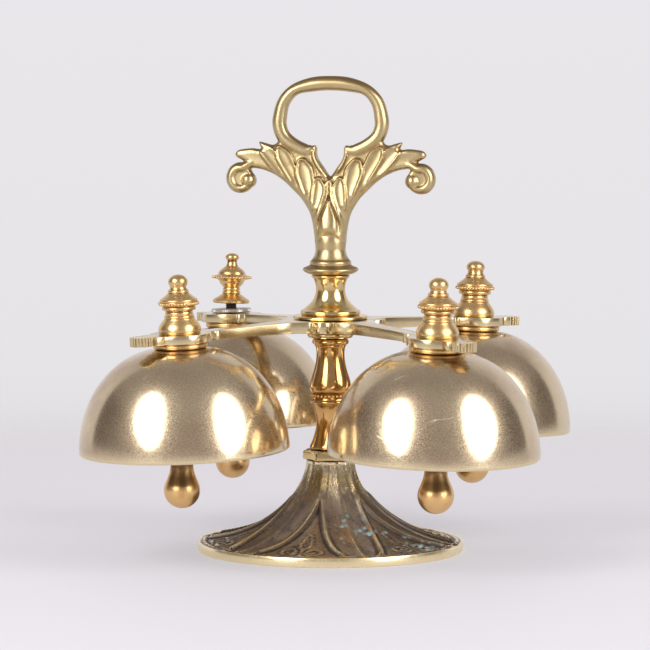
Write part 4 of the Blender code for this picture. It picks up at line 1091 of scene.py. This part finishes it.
class ALTARBELL_OT_handle(bpy.types.Operator):
    """Handle casting: ring knop, waist, bud, five pairs of cupped leaves, scrolls, open loop"""
    bl_idname = "altar_bell.handle"
    bl_label = "Handle"

    def execute(self, context):
        sizes = context.scene.altar_bell_sizes
        low = base("handle")
        height = top("handle") - low
        one_side = [self.curl(), *self.scroll()]
        parts = [self.neck(), self.leafwork(), self.loop(height), *one_side]
        parts += [flipped(mesh) for mesh in one_side]
        rough = join([tidy(mesh) for mesh in parts])
        cast = shaped(rough, ("REMESH", {"mode": "VOXEL", "voxel_size": sizes.casting_grain}),
                      ("SMOOTH", {"factor": 0.5, "iterations": 3}))
        # Faces that look up and the top of the handle are darkened as painted shade, added to the
        # hollows' depth.
        upward = read(cast, "normal")[:, 2]
        crown = soft_step((read(cast, "co")[:, 2] / MM - height + 13) / 8)
        painted_top_shade = 0.9 * np.clip(upward - 0.25, 0, 1) + 0.5 * crown * np.clip(upward, 0, 1)
        store(cast, "recess_and_shade", hollows(cast, 14, 1.2) + painted_top_shade)
        dress("handle_casting", cast, "stand", "pale_brass", ["handle"],
              at=Matrix.Translation((0, 0, low * MM)), sharp=180)
        return {"FINISHED"}

    def neck(self):
        """Ring knop and round waist, with the blind hole for the tie rod."""
        hole = [(0, 14.4), (ROD_BORE, 14.4), (ROD_BORE, 0.0)]
        knop = curve([(10.0, 0.0), (11.5, 0.8), (12.4, 1.6), (12.5, 2.1), (12.1, 2.6),
                      (10.6, 3.2), (9.4, 3.7)], 4)
        collar = arc((8.3, 4.9), 1.0, -50, 60, 7)
        waist = curve([(8.2, 6.4), (7.4, 8.0), (6.95, 9.4), (6.75, 10.8), (6.85, 12.4),
                       (6.95, 14.4), (6.8, 16.6)])
        return turned(np.vstack([hole, knop, collar, waist, [(4.0, 19.0), (0, 20.0)]]), 96)

    def outline(self):
        """Edge of the leafwork: notch, strap under the loop, leaf tips and the arm's underside."""
        notch = curve([(0.0, 43.0), (2.4, 46.6), (4.9, 50.2), (6.0, 53.4), (6.0, 56.2)], 5)
        strap = [(8.1, 55.8), (11.2, 55.0), (16.6, 57.2), (21.0, 61.0), (23.0, 66.0)]
        tips = curve([(24.4, 62.0), (24.0, 58.6), (26.1, 57.3), (29.4, 58.1), (32.3, 58.7),
                      (32.0, 57.2), (31.5, 55.4), (35.0, 55.7), (39.0, 55.4), (41.9, 54.7),
                      (43.2, 53.1), (42.6, 51.8), (41.0, 50.9), (38.4, 49.6)], 4)
        under = curve([(34.5, 46.9), (30.4, 46.1), (25.5, 44.1), (20.8, 40.9), (17.0, 37.3),
                       (13.7, 34.0), (11.3, 30.6), (9.4, 27.2), (8.4, 23.8), (7.75, 20.5),
                       (7.3, 17.1), (7.1, 13.8)], 4)
        side = np.vstack([notch, strap, tips, under])
        return np.vstack([side, side[:0:-1] * (-1, 1)])

    def relief(self, x, z):
        """Height of the cast leaves, notch rim and bud over the plain body."""
        leaves = [([(15.0, 38.0, 2.6), (22.0, 44.2, 3.6), (29.0, 49.4, 4.3), (35.5, 51.6, 4.2),
                    (40.4, 52.8, 2.6), (42.2, 53.0, 1.3)], 0.5, 0.35, 0.55),
                  ([(12.0, 33.5, 1.6), (17.5, 41.5, 2.8), (23.5, 48.8, 3.4), (28.2, 54.0, 3.1),
                    (30.8, 57.0, 1.6), (31.7, 58.1, 0.7)], 0.9, 0.45, 0.6),
                  ([(10.0, 30.5, 1.4), (14.6, 40.5, 2.6), (18.6, 48.0, 3.2), (21.0, 52.4, 3.3),
                    (22.2, 54.6, 2.3), (22.6, 55.4, 1.5)], 1.2, 0.6, 0.6),
                  ([(7.4, 26.0, 1.2), (8.6, 34.0, 2.5), (10.0, 40.6, 3.8), (11.3, 45.6, 4.3),
                    (11.9, 48.0, 3.4), (12.2, 48.9, 2.6)], 1.5, 0.7, 0.6),
                  ([(7.0, 22.0, 0.8), (6.5, 27.0, 1.7), (5.4, 32.5, 2.8), (4.6, 37.6, 3.3),
                    (4.8, 40.4, 2.5), (4.9, 41.4, 1.7)], 1.7, 0.75, 0.6)]
        notch_rim = ([(0.0, 41.9, 1.0), (3.2, 46.0, 1.0), (5.8, 50.0, 1.0), (6.9, 53.4, 1.0),
                      (6.7, 57.2, 0.7)], 1.3, 0.0, -0.4)
        bud_cord = ([(6.4, 17.6, 0.4), (6.1, 21.0, 0.7), (5.3, 25.0, 0.8), (3.8, 28.8, 0.8),
                     (2.0, 32.0, 0.8), (1.0, 35.4, 0.7), (0.8, 38.4, 0.6), (0.8, 40.6, 0.6),
                     (0.5, 42.6, 0.6)], 1.5, 0.0, -0.4)
        height = np.zeros_like(x)
        for path, lift, rim, cup in (*leaves, notch_rim, bud_cord):
            height = lay(height, x, z, path, lift, rim, cup)
        u = x / np.interp(z, (17.2, 18.6, 21.0, 24.0, 27.0, 30.0, 32.6),
                          (4.2, 4.7, 4.7, 4.3, 3.4, 1.9, 0.25))
        swell = 0.15 + 0.9 * np.clip(1 - u ** 2, 0, 1) - 1.0 * np.exp(-((u - 1.0) / 0.2) ** 2)
        bud = soft_step((z - 16.5) / 5.0) * swell
        cover = soft_step((1.14 - u) / 0.16) * soft_step((z - 14.5) / 4.0)
        cover = cover * soft_step((33.0 - z) / 0.5)
        return height * (1 - cover) + bud * cover

    def leafwork(self):
        """The flat body with its leaves, cast alike on both faces."""
        step = 0.3
        edge = self.outline()
        across, up = np.arange(-46, 46 + step, step), np.arange(13, 68, step)
        x, z = (grid.ravel() for grid in np.meshgrid(across, up))
        points = np.stack([x, z], axis=1)
        inside = within(points, edge)
        gap, spot = closest(points, edge)
        grid = np.arange(len(points)).reshape(len(up), len(across))
        cells = np.stack([grid[:-1, :-1], grid[:-1, 1:], grid[1:, 1:], grid[1:, :-1]], axis=2)
        cells = cells.reshape(-1, 4)
        cells = cells[inside[cells].any(axis=1)]
        points[~inside] = spot[~inside]
        body = np.interp(z, (12, 16, 20, 24, 28, 32, 36, 40, 44, 48, 54),
                         (6.8, 7.15, 6.95, 6.35, 5.6, 4.9, 4.2, 3.6, 3.2, 2.9, 2.7))
        rounding = np.interp(z, (14, 22, 30, 38, 46), (7.1, 6.6, 5.0, 3.4, 2.4))
        bend = 1 - np.clip(gap / rounding, 0, 1)
        thick = (body + self.relief(np.abs(x), z)) * np.sqrt(1 - bend ** 2)
        thick = np.where(inside, thick, 0.0)
        used, order = np.unique(cells, return_inverse=True)
        order = order.reshape(cells.shape)
        faces = np.vstack([order, order[:, ::-1] + len(used)])
        front = np.stack([points[used, 0], -thick[used], points[used, 1]], axis=1)
        both = np.vstack([front, front * (1, -1, 1)])
        mesh = bpy.data.meshes.new("leafwork")
        mesh.from_pydata((both * MM).tolist(), [], faces.tolist())
        return mesh

    def loop(self, height):
        """The open loop's bar, from one cusp over the top to the other."""
        crown = height - 3.25
        side = [(8.2, crown - 0.6, 3.2, 3.6), (16.2, crown - 3.0, 2.6, 3.5),
                (21.1, crown - 8.4, 2.85, 3.5), (22.9, crown - 15.2, 3.2, 3.6),
                (22.9, crown - 19.6, 3.2, 3.6), (20.9, crown - 24.2, 3.2, 3.6),
                (16.6, 57.0, 3.2, 3.6), (11.4, 54.8, 3.0, 3.5), (8.1, 55.5, 2.0, 3.2),
                (6.8, 57.0, 0.5, 2.2)]
        path = [(-x, z, w, d) for x, z, w, d in side[::-1]] + [(0.0, crown, 3.25, 3.6)] + side
        return bar(path, 0.05)

    def curl(self):
        """End of one arm, rolled into a fat curl."""
        path = [(31.0, 48.2, 1.9, 2.4), (35.6, 48.9, 2.1, 3.2)]
        for i in range(10):
            angle = math.radians(101 - 31 * i)
            tighter = max(0, i - 5)
            ring, half = 4.75 - 0.24 * tighter, 2.45 - 0.16 * tighter
            path.append((40.1 + ring * math.cos(angle), 42.4 + ring * math.sin(angle), half, 3.9))
        return bar(path, steps=4)

    def scroll(self):
        """Sunk floor of one curl and the ball that ends it."""
        lift = np.linspace(-math.pi / 2, math.pi / 2, 13)
        ball = turned(np.stack([3.6 * np.cos(lift), 4.7 * np.sin(lift)], axis=1), 24)
        floor = turned([(0, -2.9), (4.6, -2.9), (5.6, 0), (4.6, 2.9), (0, 2.9)], 32)
        for mesh, x, z in ((floor, 40.1, 42.4), (ball, 37.1, 41.4)):
            mesh.transform(Matrix.Translation((x * MM, 0, z * MM))
                           @ Matrix.Rotation(math.pi / 2, 4, "X"))
        return [floor, ball]


class ALTARBELL_OT_bells(bpy.types.Operator):
    """Four bells: smooth spun domes, painted lighter towards the lip as a reflection of the floor
    and darkened inside as painted shade
    """
    bl_idname = "altar_bell.bells"
    bl_label = "Bells"

    def execute(self, context):
        wall = context.scene.altar_bell_sizes.bell_wall / MM
        crown, rim, height = 8.0, 46.0, 45.0
        angle = np.linspace(0, math.pi / 2, 49)
        outer = np.stack([crown + (rim - crown) * np.sin(angle),
                          -height * (1 - np.cos(angle))], axis=1)
        inner = np.stack([crown + (rim - crown - wall) * np.sin(angle),
                          -wall - (height - wall) * (1 - np.cos(angle))], axis=1)
        lip = [(rim, -height + 0.5), (rim - 0.4, -height), (rim - wall + 0.4, -height)]
        outer = outer[outer[:, 1] > -height + 0.8]
        inner[-1] = (rim - wall + 0.1, -height + 0.4)
        outline = np.vstack([[(STUD_BORE, 0.0)], outer, lip, inner[::-1], [(STUD_BORE, -wall)]])
        for corner in CORNERS:
            mesh = turned(outline + (0, BELL_CROWN), 128, loop=True)
            x, y, z = read(mesh, "co").T / MM
            level = z - BELL_CROWN + height
            dome = crown + (rim - crown) * np.sqrt(np.clip(1 - (level / height) ** 2, 0, 1))
            inside = np.hypot(x, y) < dome - wall / 2
            # Painted light: the inside is darkened as shade, and the lip is lightened as a
            # reflection of the floor.
            painted_lip_reflection = np.interp(level, (0.4, 4.5), (0.05, 0.5))
            store(mesh, "recess_and_shade", np.where(inside, 0.85, painted_lip_reflection))
            dress(f"spun_bell_{corner}", mesh, "stand", "bell_bronze", [f"bell_{corner}"],
                  at=station(corner), sharp=40)
        return {"FINISHED"}


class ALTARBELL_OT_finials(bpy.types.Operator):
    """Four turned finials with beaded rings, one of another turning and raised on its stud"""
    bl_idname = "altar_bell.finials"
    bl_label = "Finials"

    def execute(self, context):
        sizes = context.scene.altar_bell_sizes
        beads = []
        for corner in CORNERS:
            odd = corner == ODD_CORNER
            outline, ring, level, bead = (self.slim_nut() if odd else
                                          self.ball_nut(corner == FLATTENED_CORNER))
            seat = RAISED_SEAT if odd else SEAT
            at = station(corner) @ Matrix.Translation((0, 0, seat * MM))
            if odd:
                axis = at.to_3x3().inverted() @ Vector((-0.16, 0.99, 0))
                at = at @ Matrix.Rotation(math.radians(3), 4, axis)
            mesh = turned(outline, 72)
            store(mesh, "recess_and_shade", hollows(mesh, 6, 1.3))
            dress(f"turned_finial_{corner}", mesh, "stand", "orange_brass",
                  [f"finial_{corner}"], at=at)
            row = bead_ring("orange_brass", sizes.finial_beads, ring, bead)
            row.transform(at @ Matrix.Translation((0, 0, level * MM)))
            beads.append(row)
        dress("finial_beads", join(beads), "stand", "orange_brass", sharp=80)
        return {"FINISHED"}

    def ball_nut(self, flattened):
        """Outline, bead ring radius, its level and bead radius of the usual finial."""
        foot = [(0, 9.0), (STUD_BORE, 9.0), (STUD_BORE, -0.28), (8.8, -0.28), (9.1, 0.1)]
        body = curve([(9.2, 0.4), (9.3, 1.3), (9.1, 2.6), (8.5, 3.8), (7.6, 5.0), (6.9, 5.9),
                      (6.6, 6.4)])
        rings = np.vstack([arc((5.85, 7.1), 0.75, -55, 60, 6),
                           curve([(6.05, 8.0), (6.15, 8.6), (6.0, 9.2), (5.75, 9.6)], 4),
                           arc((6.45, 10.85), 1.0, -70, 65, 8)])
        flange = [(7.3, 11.9), (8.0, 12.15), (8.05, 13.5)]
        cap = np.vstack([arc((7.45, 14.2), 0.8, -45, 75, 7),
                         curve([(7.35, 15.1), (6.7, 15.65), (5.9, 16.2), (5.2, 16.8),
                                (4.75, 17.3)], 4),
                         arc((3.75, 18.1), 0.8, -55, 55, 6),
                         [(3.75, 18.95), (3.55, 19.6), (3.5, 20.1)]])
        wide, tall, centre = (4.2, 2.8, 22.4) if flattened else (4.25, 3.2, 22.2)
        ball = knob(wide, tall, centre, -0.58, 16)
        return np.vstack([foot, body, rings, flange, cap, ball]), 8.3, 12.85, 0.7

    def slim_nut(self):
        """The same for the slim finial."""
        foot = [(0, 4.6), (STUD_BORE, 4.6), (STUD_BORE, 0.0), (8.0, 0.0), (8.4, 0.3)]
        body = curve([(8.5, 1.1), (7.9, 1.8), (6.8, 2.5), (5.4, 3.4), (4.4, 4.1)], 4)
        rings = np.vstack([arc((3.5, 4.95), 0.75, -60, 60, 6), arc((3.3, 6.5), 0.75, -55, 60, 6)])
        swell = curve([(3.9, 7.4), (4.6, 8.2), (5.4, 9.2), (5.9, 10.3), (7.0, 11.0),
                       (8.4, 11.4)], 4)
        flange = [(8.7, 11.6), (8.8, 12.2), (8.5, 12.5)]
        cap = curve([(7.2, 12.8), (6.35, 13.3), (6.1, 14.2), (5.3, 15.2), (3.9, 16.2),
                     (2.9, 17.0), (2.5, 17.8), (2.3, 18.5)], 4)
        ball = knob(3.15, 1.95, 21.1, -0.85, 14)
        return np.vstack([foot, body, rings, swell, flange, cap, ball]), 8.75, 11.9, 0.55


class ALTARBELL_OT_fasteners(bpy.types.Operator):
    """Studs, nuts, washers, the tie rod and the clappers' stirrups and pins"""
    bl_idname = "altar_bell.fasteners"
    bl_label = "Fasteners"

    def execute(self, context):
        disc = np.vstack([[(8.0, -0.28)], arc((10.7, 1.0), 1.28, -88, 88, 14), [(8.0, 2.28)]])
        disc = bored(disc + (0, WASHER_LEVEL), STUD_BORE)
        for corner in CORNERS:
            dress(f"bell_disc_{corner}", turned(disc, 64, loop=True), "stand", "orange_brass",
                  [f"bell_washer_{corner}"], at=station(corner))
            paint("dark_steel", f"clapper_pin_{corner}")
            paint("orange_brass", f"bell_nut_{corner}", f"clapper_stirrup_{corner}")
            if corner != ODD_CORNER:
                paint("dark_steel", f"bell_stud_{corner}")
        self.threaded_stud()
        self.knurled_nut()
        paint("dark_steel", "tie_rod", "tie_rod_washer")
        paint("orange_brass", "tie_rod_nut")
        return {"FINISHED"}

    def threaded_stud(self):
        """The stud that shows under the raised finial, with its thread cut."""
        head = [(0, -15.5), (3.7, -15.5), (4.0, -15.2), (4.0, -13.7), (2.5, -13.7)]
        thread = [(2.6 if i % 2 else 2.2, -13.5 + 0.4 * i) for i in range(56)]
        dress("threaded_stud", turned(head + thread + [(2.2, 9.0), (0, 9.0)], 32), "stand",
              "dark_steel", [f"bell_stud_{ODD_CORNER}"], at=station(ODD_CORNER), sharp=20)

    def knurled_nut(self):
        """Thin round nut with a knurled edge."""
        angles = whole_turn(240)
        knurl = 9.2 - 0.22 * (np.arange(len(angles)) % 4 == 0)
        rings = [(STUD_BORE, 0.0), (knurl - 0.7, 0.0), (knurl, 0.5), (knurl, 1.5),
                 (knurl - 0.6, 2.0), (STUD_BORE, 2.0)]
        mesh = skin([around(radius, z + SEAT, angles) for radius, z in rings], loop=True)
        dress("knurled_nut", tidy(mesh), "stand", "steel", [f"stud_nut_{ODD_CORNER}"],
              at=station(ODD_CORNER), sharp=30)


class ALTARBELL_OT_clappers(bpy.types.Operator):
    """Four pear-shaped clappers, each with a drilled eye on its pin"""
    bl_idname = "altar_bell.clappers"
    bl_label = "Clappers"

    def execute(self, context):
        shank = curve([(2.5, -2.2), (2.6, -10.0), (2.9, -20.0), (3.8, -29.0), (4.6, -34.5),
                       (4.85, -37.4), (5.05, -39.6), (5.75, -42.3), (6.65, -44.6)])
        pear = np.vstack([[(0, -1.2), (2.2, -1.4)], shank, arc((0, -49.2), 7.95, 24, -90, 20)])
        pear[-1, 0] = 0.0
        boss = bored([(2.3, -3.7), (2.65, -3.3), (2.65, 3.3), (2.3, 3.7)], PIN_BORE)
        for corner in CORNERS:
            swing = joint(f"{corner}_swing")
            side, up = Vector(swing["axis"]).normalized(), Vector((0, 0, 1))
            eye = turned(boss, 32, loop=True)
            eye.transform(Matrix.Rotation(math.pi / 2, 4, "X"))
            body = turned(pear, 64)
            level = read(body, "co")[:, 2] / MM
            # The upper part is darkened towards the bell: painted shade and a painted reflection
            # of the bell's dark inside.
            store(body, "recess_and_shade", np.interp(level, (-45.5, -38.5), (0.3, 0.80)))
            dress(f"pear_clapper_{corner}", join([body, eye]), f"clapper_{corner}",
                  "clapper_bronze", [f"clapper_{corner}"],
                  at=placement(side.cross(up), side, up, swing["pos_m"]), sharp=40)
        return {"FINISHED"}


class ALTARBELL_PT_panel(bpy.types.Panel):
    """Buttons for each group of pieces, with their sizes and colours"""
    bl_label = "Altar Bell"
    bl_idname = "ALTARBELL_PT_panel"
    bl_space_type = "VIEW_3D"
    bl_region_type = "UI"
    bl_category = "Altar Bell"

    def draw(self, context):
        for operator in OPERATORS:
            self.layout.operator(operator.bl_idname)
        for name in GROUPS:
            group = getattr(context.scene, name)
            for key in group.__annotations__:
                self.layout.prop(group, key)


OPERATORS = (ALTARBELL_OT_finishes, ALTARBELL_OT_stage, ALTARBELL_OT_foot, ALTARBELL_OT_column,
             ALTARBELL_OT_cross, ALTARBELL_OT_handle, ALTARBELL_OT_bells, ALTARBELL_OT_finials,
             ALTARBELL_OT_fasteners, ALTARBELL_OT_clappers)
GROUPS = {"altar_bell_sizes": AltarBellSizes, "altar_bell_finishes": AltarBellFinishes,
          "altar_bell_stage": AltarBellStage}


def register():
    for group in (*GROUPS.values(), *OPERATORS, ALTARBELL_PT_panel):
        bpy.utils.register_class(group)
    for key, group in GROUPS.items():
        setattr(bpy.types.Scene, key, bpy.props.PointerProperty(type=group))


def unregister():
    for key in GROUPS:
        delattr(bpy.types.Scene, key)
    for group in (ALTARBELL_PT_panel, *OPERATORS, *GROUPS.values()):
        bpy.utils.unregister_class(group)


def main():
    """Register and make every piece in order."""
    register()
    bead_ring_tree()
    fan_rib_tree()
    for operator in OPERATORS:
        space, name = operator.bl_idname.split(".")
        getattr(getattr(bpy.ops, space), name)()


if __name__ == "__main__":
    main()
